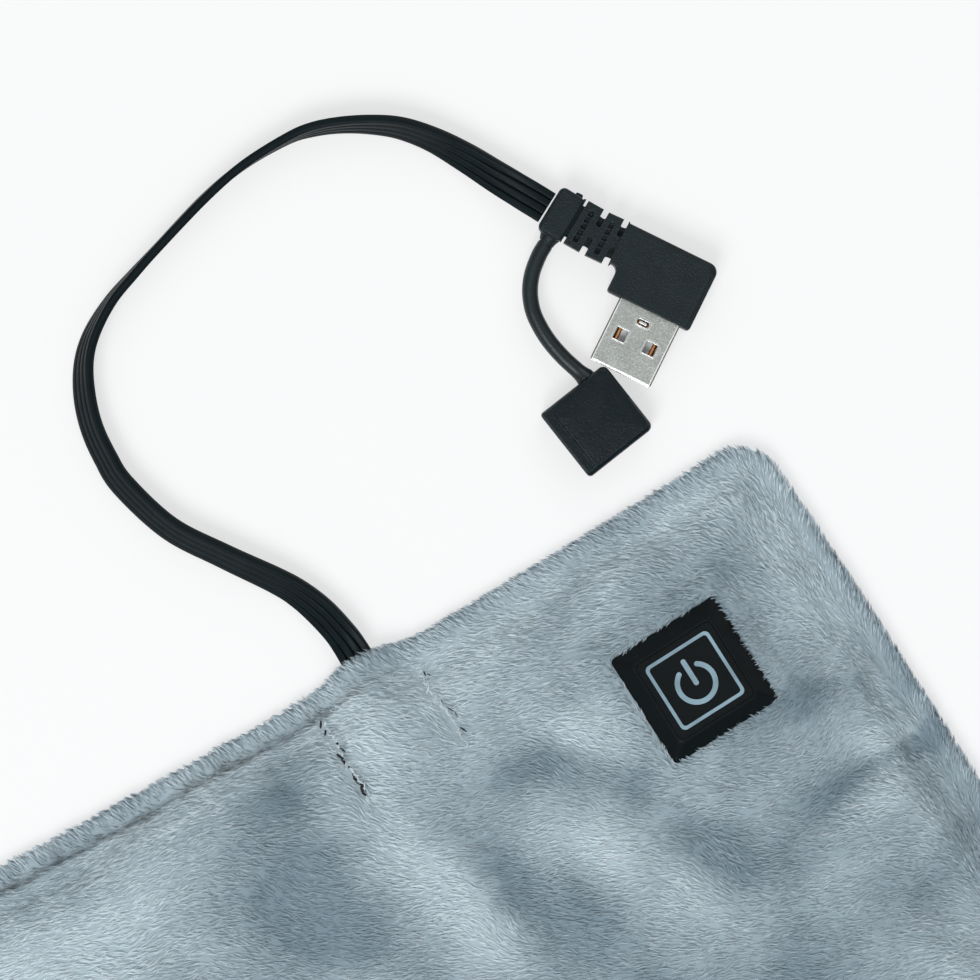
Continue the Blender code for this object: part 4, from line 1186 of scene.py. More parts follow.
    def build_contacts(self) -> list[Item]:
        """The four sprung contacts, each crowned across its width."""
        pieces = []
        low = self.shell_span[0] + self.contact_start
        base = self.tongue_top
        turns = np.linspace(0, math.pi, 9)
        ways = (low, low + 0.0003, low + self.contact_length - 0.0003, low + self.contact_length)
        for number, off in enumerate(self.contacts, 1):
            x = self.shell_middle + off
            outline = [(x + self.contact_half * math.cos(t), base + self.contact_crown * math.sin(t)) for t in turns]
            body = Solid.loft([[Vector((a, y, z)) for a, z in outline] for y in ways])
            pieces.append(body.piece(f"contact_{number}", f"usb_contact_{number}", GOLD, Body.PAD, self.frame()))
        return pieces


# The cap


@dataclass
class Cap(Placed):
    """The rubber cap and the round tether that holds it."""

    place: Place = (0.06546, 0.14553, 8.5)
    half_depth: float = 0.00735
    half_width: float = 0.00725
    top: float = 0.0067
    rim: float = 0.0019
    rim_top: float = 0.0070
    low_band: float = 0.0009
    cavity_half: float = 0.0063
    cavity: Point = (0.00095, 0.00605)
    cavity_depth: float = 0.0127
    tether_radius: float = 0.00145
    tether_levels: Point = (0.0038, 0.00335)
    tether_route: tuple[Point, ...] = (
        (0.07290, 0.17760),
        (0.0712, 0.1766),
        (0.0685, 0.17435),
        (0.0665, 0.1716),
        (0.0653, 0.1684),
        (0.0650, 0.1651),
        (0.0652, 0.1619),
        (0.0659, 0.1585),
        (0.06675, 0.1558),
        (0.0675, 0.15355),
    )

    def build(self) -> list[Item]:
        """Builds the cap and its tether and returns them."""
        return [self.build_cap(), self.build_tether()]

    def outline(self, mouth: float, back: float, low: float, high: float) -> list[Point]:
        """The cap's outline with its sides drawn in.

        Args:
            mouth: How far the mouth's side is drawn in.
            back: How far the closed side is drawn in.
            low: How far the lower side is drawn in.
            high: How far the upper side is drawn in.

        Returns:
            The outline.
        """
        left = -self.half_depth + mouth
        right = self.half_depth - back
        radii = [max(radius - back * 0.4, 0.0002) for radius in (0.0013, 0.0012, 0.0006, 0.0007)]
        return rounded(left, right, -self.half_width + low, self.half_width - high, radii, 6)

    def build_cap(self) -> Item:
        """The cap: a raised rim strip round its mouth, and a sloped band along its lower side."""
        band = self.low_band
        plan = (
            (0.00002, 0.0004, 0.0005, 0.0005, 0.0005),
            (0.00018, 0.00015, 0.00018, 0.00018, 0.00018),
            (0.0005, 0.0, 0.0, 0.0, 0.0),
            (0.0055, 0.0, 0.0, 0.0, 0.0),
            (0.0060, 0.0, 0.00006, 0.00018, 0.00004),
            (0.0064, 0.0002, 0.00022, band * 0.8, 0.0002),
            (0.00662, 0.0004, 0.0004, band * 0.95, 0.0004),
            (self.top, 0.0007, 0.0007, band * 1.2, 0.0007),
            (self.top + 0.00008, 0.0018, 0.0018, 0.0022, 0.0018),
            (self.top + 0.00016, 0.0032, 0.0032, 0.0034, 0.0032),
            (self.top + 0.0002, 0.0048, 0.0048, 0.0049, 0.0048),
        )
        body = Solid.layers([(self.outline(*insets), height) for height, *insets in plan])
        left = -self.half_depth
        half = self.half_width
        strip = rounded(left + 0.0003, left + self.rim, -half + 0.0007, half - 0.0003, 0.0004, 4)
        slim = rounded(left + 0.0004, left + self.rim - 0.0001, -half + 0.0008, half - 0.0004, 0.0003, 4)
        body.join(Solid.layers([(strip, 0.005), (strip, self.rim_top - 0.0001), (slim, self.rim_top)]))
        groove = rounded(left + self.rim, left + self.rim + 0.00022, -half - 0.001, half + 0.001, 0.00005, 2)
        low, high = self.cavity
        mouth = rounded(-self.cavity_half, self.cavity_half, low, high, 0.0006, 4)
        ways = (left - 0.001, left + self.cavity_depth)
        hollow = Solid.loft([[Vector((x, y, z)) for y, z in mouth] for x in ways])
        body.cut(Solid.block(groove, self.top - 0.0002, self.rim_top + 0.001), hollow)
        return body.piece("cap_body", "usb_cap", CAP_RUBBER, Body.CAP, self.frame(), 32.0)

    def build_tether(self) -> Item:
        """The tether: a ball end in the yoke's boss, a round rod, and a flare where it joins the cap."""
        count = 90
        start, end = self.tether_levels
        radius = self.tether_radius
        line = []
        radii = []
        for (x, y), share in zip(along(self.tether_route, count), np.linspace(0, 1, count)):
            line.append(Vector((x, y, start + (end - start) * share)))
            radii.append(radius * (1 + 0.22 * max(0, (share - 0.93) / 0.07) ** 2))
        outward = (line[0] - line[1]).normalized()
        shares = [math.sin(math.radians(angle)) for angle in (88, 78, 66, 54, 42, 30, 20, 10)]
        ball = [line[0] + outward * radius * share for share in shares]
        rounds = [radius * math.sqrt(1 - share * share) for share in shares]
        line.append(line[-1] + (line[-1] - line[-2]).normalized() * 0.0008)
        radii.append(radii[-1])
        body = Solid.rod(ball + line, rounds + radii, 32)
        return body.piece("tether", "cap_tether", CORD_RUBBER, Body.CAP, sharp=60.0)


# The controller


@dataclass
class Controller(Placed):
    """The rubber frame with its sloped sides, and the key in it with its printed marks."""

    place: Place = (0.0574, 0.0966, 2.6)
    half: float = 0.0110
    corner: float = 0.0009
    inner_corner: float = 0.0009
    opening: float = 0.00784
    key_half: float = 0.00780
    bottom: float = 0.0126
    slope_start: float = 0.0136
    plateau: float = 0.0161
    plateau_half: float = 0.0084
    key_top: float = 0.0162
    key_bottom: float = 0.0143
    print_half: float = 0.00665
    print_line: float = 0.00062
    print_corner: float = 0.0010
    print_levels: Point = (0.01625, 0.0164)
    symbol_middle: Point = (0.0, -0.0005)
    symbol_radius: float = 0.00390
    symbol_line: float = 0.00094
    symbol_gap: float = 33.0
    symbol_bar: Point = (-0.0004, 0.0049)

    def square(self, half: float, corner: float) -> list[Point]:
        """A square outline with rounded corners."""
        return rounded(-half, half, -half, half, corner, 5)

    def build(self) -> None:
        """Builds the frame and the key."""
        corner = self.inner_corner
        plan = (
            (self.opening, corner, self.bottom),
            (self.half - 0.0003, self.corner, self.bottom),
            (self.half, self.corner, self.bottom + 0.0002),
            (self.half, self.corner, self.slope_start - 0.0002),
            (self.half - 0.00016, self.corner, self.slope_start),
            (self.plateau_half + 0.0001, corner + 0.0004, self.plateau - 0.00008),
            (self.plateau_half - 0.00006, corner + 0.0003, self.plateau),
            (self.opening + 0.00005, corner + 0.00005, self.plateau),
            (self.opening, corner, self.plateau - 0.00005),
        )
        layers = [(self.square(half, radius), height) for half, radius, height in plan]
        self.raised("rubber_frame", "controller_bezel", Solid.layers(layers, True), FRAME_RUBBER, Body.PAD)
        top = self.key_top
        plan = ((0.0, self.key_bottom), (0.0, top - 0.00008), (0.00002, top - 0.00002), (0.00006, top))
        layers = [(self.square(self.key_half - inset, corner), height) for inset, height in plan]
        self.raised("push_key", "power_key", Solid.layers(layers), FRAME_RUBBER)
        low, high = self.print_levels
        outer = self.square(self.print_half, self.print_corner)
        inner = self.square(self.print_half - self.print_line, self.print_corner - self.print_line * 0.6)
        layers = [(outer, low), (outer, high), (inner, high), (inner, low)]
        self.raised("printed_frame", "icon_frame", Solid.layers(layers, True))
        self.build_symbol()

    def raised(self, name: str, node: str, solid: Solid, finish: Finish = PRINT, body: Body = Body.KEY) -> None:
        """Turns a solid into one of the controller's pieces."""
        solid.piece(name, node, finish, body, self.frame(), 24.0)

    def build_symbol(self) -> None:
        """The power symbol: an open ring and a bar, both with round ends."""
        low, high = self.print_levels
        x, y = self.symbol_middle
        outer = self.symbol_radius
        half = self.symbol_line / 2
        line = outer - half
        start, end = 90 + self.symbol_gap, 450 - self.symbol_gap
        steps = 60
        first, last = arc((x, y), line, start, end, 1)
        outline = arc((x, y), outer, start, end, steps)
        outline += arc(last, half, end, end + 180, 8)[1:-1]
        outline += arc((x, y), outer - 2 * half, end, start, steps)
        outline += arc(first, half, start + 180, start + 360, 8)[1:-1]
        self.raised("symbol_ring", "icon_arc", Solid.block(outline, low, high))
        bottom, top = self.symbol_bar
        bar = rounded(x - half, x + half, y + bottom, y + top, half * 0.98, 6)
        self.raised("symbol_bar", "icon_bar", Solid.block(bar, low, high))


# The pad

# Soft valleys in the cloth, in millimetres: both ends, half their width and their depth
FOLDS = (
    (90.5, 64.5, 69, 67.2, 1.4, 1.8), (94.5, 68.5, 79, 65.2, 1.1, 1.6), (90.5, 59.5, 73, 62, 2.6, -1.3),
    (89, 76, 70, 84.5, 2.2, 1.2), (90.5, 69, 77, 72, 2.4, -1.9), (64, 80, 50, 81, 3, -0.9),
    (56, 60, 86, 59, 3.5, -1), (37, 86, 50, 64, 4.5, 1.2), (46, 68, 72, 64, 4.5, 1.1),
    (11, 93, 16.5, 60, 4.5, 1.3), (-11, 118, -16, 106, 4, 0.9), (-20, 106, -30, 86, 7.5, 1.2),
    (74, 115, 84, 102, 3.5, 0.6), (17, 112, 30, 105, 3, 0.6), (20, 30, -30, -10, 7, 1),
    (50, -20, 20, -70, 7, 1), (-60, -40, -20, -80, 6, 0.9), (-65, 50, -35, 25, 6, 0.9),
)
# Soft patches, as patch() takes them, where the nap is brushed another way, by so many degrees
SWIRLS = (
    (-22, 102, 20, 22, 0, -18), (80, 116, 16, 16, 0, -24), (89.5, 60, 120, 8.5, 90, -66),
    (78, 84, 14, 18, 0, 22), (5, 114, 8, 12, 0, -22), (15.5, 114, 3.5, 7, 0, -45),
    (-4.5, 106, 3.5, 9, 0, -42), (5, 75, 6, 6, 0, -45), (45, 65, 6, 6, 0, -45),
    (30, 96, 6, 6, 0, -35),
)
# Soft patches, as patch() takes them, where the brushed nap is lighter or darker: partly its own tone, partly painted
# light and shade, as painted shade in fold valleys and beside the controller, painted highlights on fold crests, and
# painted sheen
NAP_TONE_AND_LIGHT_PATCHES = (
    (-17.3, 114.1, 6, 3.5, -5, -1), (-26, 100, 16, 9.5, 60, -0.9), (-15.4, 85, 8, 6, 0, -0.9),
    (-15.5, 98.5, 9, 5.5, 90, -0.75), (22, 68, 7, 5.5, 90, -0.7), (25, 55, 9, 6, 90, -0.8),
    (53, 60, 12, 5.5, 0, -0.5), (91, 90, 40, 3, 90, -0.6), (23.5, 97.5, 7, 3, -12, -0.75),
    (33.5, 90.5, 8, 3.5, -50, -0.7), (11.8, 80, 10, 4, 95, -1.1), (15.5, 64, 8, 6, 100, -0.8),
    (46.5, 69, 8, 4.5, -58, -1.1), (62, 68, 9, 4.5, 0, -0.5), (75, 83.5, 8, 3, -8, -0.95),
    (85.5, 78, 5, 2, -50, -0.5), (79, 66.8, 11, 1.9, -3, -1), (88.5, 65.5, 4, 3, 0, -0.8),
    (85, 46.3, 8, 6, 0, -0.8), (52, 41.2, 12, 6, 0, -0.6), (49, 122.5, 9, 2.8, 36, -0.55),
    (73, 111.5, 8, 4, 0, -0.5), (60, 109, 10, 3, 0, -0.4), (-52.3, 109.3, 14, 10, 0, 0.8),
    (1.5, 117.5, 7, 4, 95, 0.9), (20, 119, 10, 5, 0, 0.8), (-35, 122, 20, 3, 0, 0.5),
    (37, 96.5, 7.5, 4, -55, 0.9), (0.5, 86.5, 18, 4.8, -79, 0.85), (30.5, 76.5, 13, 5, -56, 0.9),
    (41.5, 57.5, 9, 4.5, -62, 0.6), (84.2, 69, 5.5, 2.6, 20, 1), (70, 66, 7, 2.8, 14, -0.6),
    (75, 60.8, 8, 3.2, 10, 0.7), (65.7, 54.2, 7, 4, 0, 0.4), (74.4, 123.5, 8, 3.5, 0, 0.5),
    (82.5, 95, 38, 4.5, 90, 0.5), (35, 122, 50, 4, 0, 0.7), (23, 118, 11, 4, 0, 0.7),
    (-38, 121.5, 11, 3, 0, 0.6), (-20, 96, 8, 8, 0, -0.6), (-22, 87, 7, 6, 0, -0.6),
    (40, 85, 3.5, 5, 0, -0.8), (19, 75, 4.5, 6, 0, -0.7), (47, 65, 5, 6, 0, -0.6),
    (64, 84, 6, 4.5, 0, -0.6), (66, 105, 5, 5, 0, -0.5), (36, 98.5, 5, 3, 0, 0.5),
    (80, 50, 7, 5, 0, 0.6), (78, 62.5, 5, 3, 0, 0.5), (78, 115, 10, 10, 0, 0.4),
)


class SoftNoise:
    """Repeatable soft noise in the plane."""

    def __init__(self, seed: int, cell: float) -> None:
        """Makes the noise.

        Args:
            seed: What makes it differ from others.
            cell: The size of its patches.
        """
        self.values = np.random.default_rng(seed).uniform(-1, 1, (64, 64))
        self.cell = cell

    def at(self, x: Array, y: Array) -> Array:
        """The noise at each place, from -1 to 1."""
        u, v = x / self.cell + 100, y / self.cell + 100
        i, j = np.floor(u).astype(int), np.floor(v).astype(int)
        a, b = u - i, v - j
        a, b = a * a * a * (a * (a * 6 - 15) + 10), b * b * b * (b * (b * 6 - 15) + 10)
        pick = self.values
        low = pick[i % 64, j % 64] * (1 - a) + pick[(i + 1) % 64, j % 64] * a
        high = pick[i % 64, (j + 1) % 64] * (1 - a) + pick[(i + 1) % 64, (j + 1) % 64] * a
        return low * (1 - b) + high * b


def patch(x: Array, y: Array, row: Sequence[float]) -> Array:
    """A soft oval patch.

    Args:
        x: Each place.
        y: Each place.
        row: The patch's middle and its two half sizes in millimetres, its turn in degrees, and its amount.

    Returns:
        The amount at each place, full in the patch's middle.
    """
    cx, cy, long, short = (value / 1000 for value in row[:4])
    c, s = math.cos(math.radians(row[4])), math.sin(math.radians(row[4]))
    u = ((x - cx) * c + (y - cy) * s) / long
    v = ((y - cy) * c - (x - cx) * s) / short
    return row[5] * np.exp(-(u * u + v * v))


def downhill(measure: Callable[[Array, Array], Array], x: Array, y: Array, step: float) -> Array:
    """The way in which a measure falls.

    Args:
        measure: The measure at given places.
        x: Each place.
        y: Each place.
        step: Half the distance over which it is compared.

    Returns:
        A level slope for each place.
    """
    slope_x = (measure(x - step, y) - measure(x + step, y)) / (2 * step)
    slope_y = (measure(x, y - step) - measure(x, y + step)) / (2 * step)
    return np.column_stack([slope_x, slope_y, np.zeros(len(x))])


def from_line(x: Array, y: Array, ends: Sequence[float]) -> Array:
    """How far each place lies from a line, given as the x and y of both its ends."""
    x0, y0, x1, y1 = ends
    way = np.clip((y - y0) / (y1 - y0), 0, 1)
    return np.hypot(x - x0 - (x1 - x0) * way, y - y0 - (y1 - y0) * way)


def read_rows(items: Any, name: str, kind: type = float) -> Array:
    """Reads three numbers of each of a mesh's items, as rows."""
    values = np.empty(len(items) * 3, kind)
    items.foreach_get(name, values)
    return values.reshape(-1, 3)


@dataclass
class PadShape:
    """The pad's outline, its crown, the tunnel over the cable and the soft folds in its cloth."""

    half_width: float = 0.090
    half_length: float = 0.130
    corner: float = 0.0085
    side_bulge: float = 0.0045
    end_draw_in: float = 0.0016
    seam_inset: float = 0.0045
    seam_top: float = 0.0034
    crown_top: float = 0.0125
    crown_reach: float = 0.0605
    cable_x: float = 0.0066
    tunnel_half: float = 0.010
    tunnel_rise: float = 0.0024
    tunnel_fade: Point = (0.010, 0.026)
    swell: float = 0.0022
    swell_half: float = 0.0125
    swell_fade: float = 0.012
    pile: float = 0.0016
    puff: float = 0.0012
    collar: float = 0.0131
    cloth: float = 0.0017
    crease_depth: float = 0.0009
    crease_half: float = 0.00055
    controller: Place = Controller.place
    opening_half: float = 0.0099
    crown: tuple[Point, ...] = (
        (0.0, 0.0),
        (0.025, 0.19),
        (0.074, 0.47),
        (0.157, 0.74),
        (0.273, 0.89),
        (0.42, 0.955),
        (0.67, 0.99),
        (1.0, 1.0),
    )
    # The rolled edge outside the seam: inset and height
    roll: tuple[Point, ...] = (
        (0.0006, 0.0022),
        (0.0008, 0.0029),
        (0.0013, 0.0035),
        (0.0022, 0.0039),
        (0.0045, 0.0040),
        (0.0075, 0.0042),
    )
    folds: tuple[tuple[float, ...], ...] = FOLDS

    def inset(self, x: Array, y: Array) -> Array:
        """How far in from the pad's outline each place lies."""
        column = x / (self.half_width - self.corner)
        row = np.clip(y / (self.half_length - self.corner), -1, 1)
        off = np.clip((x - self.cable_x) / self.swell_half, -1, 1)
        end = self.half_length - self.end_draw_in * (1 - np.clip(column, -1, 1) ** 2)
        swell = self.swell * np.cos(np.pi / 2 * off) ** 2
        side = self.half_width + self.side_bulge * (1 - row**2) - np.abs(x)
        end = end - np.abs(y)
        end = end + np.where(y > 0, swell * np.clip(1 - end / self.swell_fade, 0, 1), 0)
        radius = self.corner
        round_in = radius - np.hypot(np.maximum(radius - side, 0), np.maximum(radius - end, 0))
        return np.where((side < radius) & (end < radius), round_in, np.minimum(side, end))

    def fold_depth(self, x: Array, y: Array) -> Array:
        """How deep the soft folds are at each place."""
        depth = 0.00035 * SoftNoise(3, 0.024).at(x, y) + 0.00022 * SoftNoise(4, 0.009).at(x, y)
        for fold in self.folds:
            x0, y0, x1, y1, width, deep = (value / 1000 for value in fold)
            dx, dy = x1 - x0, y1 - y0
            way = np.clip(((x - x0) * dx + (y - y0) * dy) / (dx * dx + dy * dy), 0, 1)
            gap = np.hypot(x - x0 - dx * way, y - y0 - dy * way) + 0.0012 * np.sin(way * 5 + x0 * 90)
            depth = depth + deep * np.exp(-((gap / width) ** 2)) * np.sin(np.pi * np.clip(way, 0.12, 0.88))
        return depth

    def outward(self, x: Array, y: Array) -> Array:
        """The level direction to the nearest edge of the pad, from each place."""
        way = downhill(self.inset, x, y, 0.0002)
        return way / np.maximum(np.linalg.norm(way, axis=1, keepdims=True), 1e-9)

    def crease(self, x: Array, y: Array) -> Array:
        """How plainly the seam shows at each place along it, from 0 to 1: it fades to the right of the cable."""
        fading = 0.08 + 0.92 / (1 + np.exp((x - 0.006) / 0.0025))
        return np.where(y > 0.118, fading, np.where(x > 0.080, 0.3, 0.6))

    def from_controller(self, x: Array, y: Array) -> Array:
        """How far outside the controller's middle each place lies, along its sides."""
        cx, cy, turn = self.controller
        c, s = math.cos(math.radians(turn)), math.sin(math.radians(turn))
        u = (x - cx) * c + (y - cy) * s
        v = -(x - cx) * s + (y - cy) * c
        return np.maximum(np.abs(u), np.abs(v))

    def crown_height(self, inset: Array) -> Array:
        """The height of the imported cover's outer face."""
        share = np.interp((inset - self.seam_inset) / self.crown_reach, *zip(*self.crown))
        return self.seam_top + (self.crown_top - self.seam_top) * share

    def floor(self, x: Array, y: Array) -> Array:
        """The lowest that the cloth may lie, so that the wadding stays under it."""
        inset = self.inset(x, y)
        return np.where(inset > 0.0095, self.crown_height(inset) - self.cloth, 0.0)

    def top(self, x: Array, y: Array) -> Array:
        """The height of the cloth under the pile, without folds."""
        inset = self.inset(x, y)
        near = np.clip((0.0162 - self.from_controller(x, y)) / 0.0044, 0, 1)
        near = near * near * (3 - 2 * near)
        crown = self.crown_height(inset) - self.pile + self.puff * np.clip((inset - 0.005) / 0.006, 0, 1)
        crown = crown * (1 - near) + self.collar * near
        roll = np.interp(inset, *zip(*self.roll))
        sharp = 0.0006
        height = sharp * np.logaddexp(crown / sharp, roll / sharp) - sharp * 0.3
        groove = np.exp(-(((inset - self.seam_inset) / self.crease_half) ** 2))
        height = np.where(inset < 0.0030, roll, height) - self.crease_depth * groove * self.crease(x, y)
        off = np.clip((x - self.cable_x) / self.tunnel_half, -1, 1)
        fade = (self.tunnel_fade[1] - inset) / (self.tunnel_fade[1] - self.tunnel_fade[0])
        arch = self.tunnel_rise * np.cos(np.pi / 2 * off) ** 2 * np.clip(fade, 0, 1)
        return height + np.where(y > 0, arch, 0)

    def ring(self, inset: float, count: int = 360) -> Array:
        """Places at equal turns whose inset is this much.

        Args:
            inset: How far in from the outline.
            count: How many places.

        Returns:
            Rows of x and y.
        """
        turns = np.linspace(0, 2 * np.pi, count, endpoint=False)
        ways = np.column_stack([np.cos(turns), np.sin(turns)])
        low, high = np.zeros(count), np.full(count, 0.2)
        for _ in range(30):
            middle = (low + high) / 2
            inside = self.inset(ways[:, 0] * middle, ways[:, 1] * middle) > inset
            low, high = np.where(inside, middle, low), np.where(inside, high, middle)
        return ways * low[:, None]


@dataclass
class PlushPad:
    """The pad's cover, its pile, its seam and the two bar-tacks at the cable's tunnel."""

    shape: PadShape
    around: int = 800
    band_step: float = 0.00055
    band_end: float = 0.012
    inner_end: float = 0.030
    inner_step: float = 0.0018
    rounds: int = 40
    # The underside's edge: inset and height
    under: tuple[Point, ...] = (
        (0.012, 0.0002),
        (0.0055, 0.0003),
        (0.0026, 0.0006),
        (0.0013, 0.0011),
        (0.0008, 0.0016),
    )
    voxel: float = 0.0032
    pressure: float = 4.0
    slack: float = -0.04
    most_move: float = 0.0011
    density: float = 10.8e6
    blades_per_tuft: int = 4
    tuft_radius: float = 0.00014
    tuft_crown: float = 0.00010
    blade_length: float = 0.0020
    blade_width: float = 0.000135
    tooth_pitch: Point = (0.0018, 0.0012)
    nap: float = 166.0
    blades_per_piece: int = 62000
    stitch_pitch: float = 0.0032
    stitch_share: float = 0.86
    # Both ends of each bar-tack
    tacks: tuple[tuple[float, float, float, float], ...] = (
        (-0.0044, 0.1228, -0.0036, 0.1082),
        (0.0151, 0.1226, 0.0164, 0.1076),
    )
    swirls: tuple[tuple[float, ...], ...] = SWIRLS
    nap_tone_and_light_patches: tuple[tuple[float, ...], ...] = NAP_TONE_AND_LIGHT_PATCHES

    def build(self) -> None:
        """Builds the cover, seam, bar-tacks and pile."""
        cover = self.build_cover()
        self.build_seam()
        self.build_tacks()
        self.build_pile(cover)

    def insets(self) -> list[float]:
        """The insets of the cover's outer rings: fine at the edge, wider inside."""
        band = np.arange(0.0006, self.band_end, self.band_step)
        seam = self.shape.seam_inset + np.array([-0.0006, -0.0004, -0.0002, 0.0, 0.0002, 0.0004, 0.0006])
        band = band[np.abs(band - self.shape.seam_inset) > 0.0008]
        inner = np.arange(self.band_end, self.inner_end, self.inner_step)
        return sorted(float(inset) for inset in (*band, *seam, *inner))

    def rings(self, around: int) -> list[Array]:
        """The cover's rings, from the underside round the rolled edge to the middle of the top.

        Args:
            around: How many places each ring has.

        Returns:
            For each ring, rows of x, y and height.
        """
        shape = self.shape
        rings = []
        inner = shape.ring(self.inner_end, around)
        for scale in np.linspace(0.04, 1, 8):
            rings.append(np.column_stack([inner * scale, np.full(around, self.under[0][1])]))
        for inset, height in self.under:
            rings.append(np.column_stack([shape.ring(inset, around), np.full(around, height)]))
        for inset in self.insets():
            ring = shape.ring(inset, around)
            rings.append(np.column_stack([ring, shape.top(*ring.T)]))
        for scale in np.linspace(1, 0.02, self.rounds):
            rings.append(np.column_stack([inner * scale, shape.top(*(inner * scale).T)]))
        return rings

    def swollen(self) -> tuple[Array, Array]:
        """Swells a copy of the pad by a short cloth simulation.

        It is held at its seam, bar-tacks, controller and underside.

        Returns:
            Places on its top, and how far each has moved.
        """
        body = Solid.loft([[Vector(row) for row in ring] for ring in self.rings(180)])
        modifier = body.item.modifiers.new("even", "REMESH")
        modifier.mode = "VOXEL"
        modifier.voxel_size = self.voxel
        body.settle()
        item = body.item
        before = read_rows(item.data.vertices, "co")
        x, y, z = before.T
        held = (z < 0.0016) | (self.shape.inset(x, y) < 0.0068) | (self.shape.from_controller(x, y) < 0.0130)
        for tack in self.tacks:
            held |= from_line(x, y, tack) < 0.0022
        group = item.vertex_groups.new(name="held")
        group.add(np.flatnonzero(held).tolist(), 1.0, "REPLACE")
        cloth = item.modifiers.new("swell", "CLOTH")
        settings = cloth.settings
        settings.quality = 4
        settings.mass = 0.2
        settings.tension_stiffness = settings.compression_stiffness = 10
        settings.bending_stiffness = 0.2
        settings.use_pressure = True
        settings.uniform_pressure_force = self.pressure
        settings.shrink_min = self.slack
        settings.vertex_group_mass = "held"
        settings.effector_weights.gravity = 0
        cloth.collision_settings.use_collision = False
        cloth.point_cache.frame_end = 20
        for step in range(1, 21):
            bpy.context.scene.frame_set(step)
        graph = bpy.context.evaluated_depsgraph_get()
        move = read_rows(item.evaluated_get(graph).data.vertices, "co") - before
        bpy.context.scene.frame_set(1)
        bpy.data.objects.remove(item)
        upper = z > 0.0016
        return before[upper], move[upper]

    def swell(self, points: Array) -> Array:
        """Moves the cover's points as the swollen copy has moved, each by the same limit at most.

        Args:
            points: The cover's points.

        Returns:
            Where they are afterwards.
        """
        places, moves = self.swollen()
        far = np.linalg.norm(moves, axis=1, keepdims=True)
        moves = moves * np.minimum(1, self.most_move / np.maximum(far, 1e-9))
        tree = KDTree(len(places))
        for i, place in enumerate(places):
            tree.insert(place, i)
        tree.balance()
        shifted = points.copy()
        for i in np.flatnonzero(points[:, 2] > 0.0030):
            found = tree.find_n(points[i], 8)
            weights = np.array([math.exp(-((gap / self.voxel) ** 2)) + 1e-9 for _, _, gap in found])
            near = moves[[number for _, number, _ in found]]
            shifted[i] += (weights[:, None] * near).sum(0) / weights.sum()
        log.info("cover swollen by up to %.2f mm", 1000 * float((shifted - points)[:, 2].max()))
        return shifted

    def build_cover(self) -> Item:
        """The padded cover: swollen, folded, and open for the controller."""
        cover = Solid.loft([[Vector(row) for row in ring] for ring in self.rings(self.around)]).item
        mesh = cover.data
        points = read_rows(mesh.vertices, "co")
        points = self.swell(points)
        x, y, z = points.T
        calm = np.clip((self.shape.inset(x, y) - 0.004) / 0.006, 0, 1)
        calm = calm * np.clip((self.shape.from_controller(x, y) - 0.0115) / 0.004, 0, 1) * (z > 0.0030)
        folded = np.maximum(z - calm * self.shape.fold_depth(x, y), self.shape.floor(x, y))
        points[:, 2] = np.where(z > 0.0030, folded, z)
        mesh.vertices.foreach_set("co", points.ravel())
        # The ground under the blades: its tone with painted light and shade, and painted shade over all of it, deeper
        # in the seam's crease
        self.store_tone_and_shade(mesh, self.nap_tone_and_light(x, y), GROUND.root * (1 - GROUND.seam * self.crease_shade(points)))
        shape = bmesh.new()
        shape.from_mesh(mesh)
        centres = np.array([face.calc_center_median() for face in shape.faces])
        inside = self.shape.from_controller(centres[:, 0], centres[:, 1]) < self.shape.opening_half
        doomed = [face for face, gone in zip(shape.faces, inside & (centres[:, 2] > 0.006)) if gone]
        bmesh.ops.delete(shape, geom=doomed, context="FACES")
        shape.to_mesh(mesh)
        shape.free()
        cover.name = mesh.name = "plush_cover"
        dress(cover, GROUND, Body.PAD, 180.0)
        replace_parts(cover, "front_cover", "back_cover")
        log.info("plush_cover: %d faces", len(mesh.polygons))
        return cover

    def stitches(
        self, name: str, node: str, runs: Sequence[tuple[Vector, Vector, float, float]], finish: Finish
    ) -> None:
        """Stitches of thread, each an arched rod whose ends sink into the cloth.

        Args:
            name: The piece's name.
            node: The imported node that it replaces, or nothing.
            runs: For each stitch: where it starts and ends, how high it arches, and its radius.
            finish: The thread's finish.
        """
        solids = []
        turns = [math.pi / 4 * k for k in range(8)]
        for start, end, rise, radius in runs:
            ahead = (end - start).normalized()
            across = ahead.cross(UP).normalized()
            rings = []
            for way in np.linspace(0, 1, 7):
                swell = math.sin(math.pi * way)
                centre = start.lerp(end, way) + Vector((0, 0, rise * swell**0.6))
                thick = radius * (0.55 + 0.45 * swell**0.5)
                slope = (ahead + Vector((0, 0, (0.5 - way) * 2 * rise / (end - start).length * 2))).normalized()
                up = across.cross(slope)
                rings.append([centre + (across * math.cos(t) + up * math.sin(t)) * thick for t in turns])
            solids.append(Solid.loft(rings))
        solids[0].gather(*solids[1:]).piece(name, node, finish, Body.PAD, sharp=180.0)

    def build_seam(self) -> None:
        """The run of stitches that joins the covers, sunk in the crease."""
        ring = self.shape.ring(self.shape.seam_inset, 1400)
        gone = np.concatenate([[0], np.cumsum(np.linalg.norm(np.diff(ring, axis=0), axis=1))])
        pitch = self.stitch_pitch
        runs = []
        for k in range(int(gone[-1] / pitch)):
            ends = []
            for way in (k * pitch, (k + self.stitch_share) * pitch):
                x, y = (float(np.interp(way, gone, column)) for column in ring.T)
                height = float(self.shape.top(np.array([x]), np.array([y]))[0])
                sunk = 0.0015 - 0.0008 * float(self.shape.crease(np.array([x]), np.array([y]))[0])
                ends.append(Vector((x, y, height - sunk)))
            runs.append((*ends, 0.0004, 0.00022))
        self.stitches("seam_stitches", "edge_stitching", runs, SEAM_THREAD)

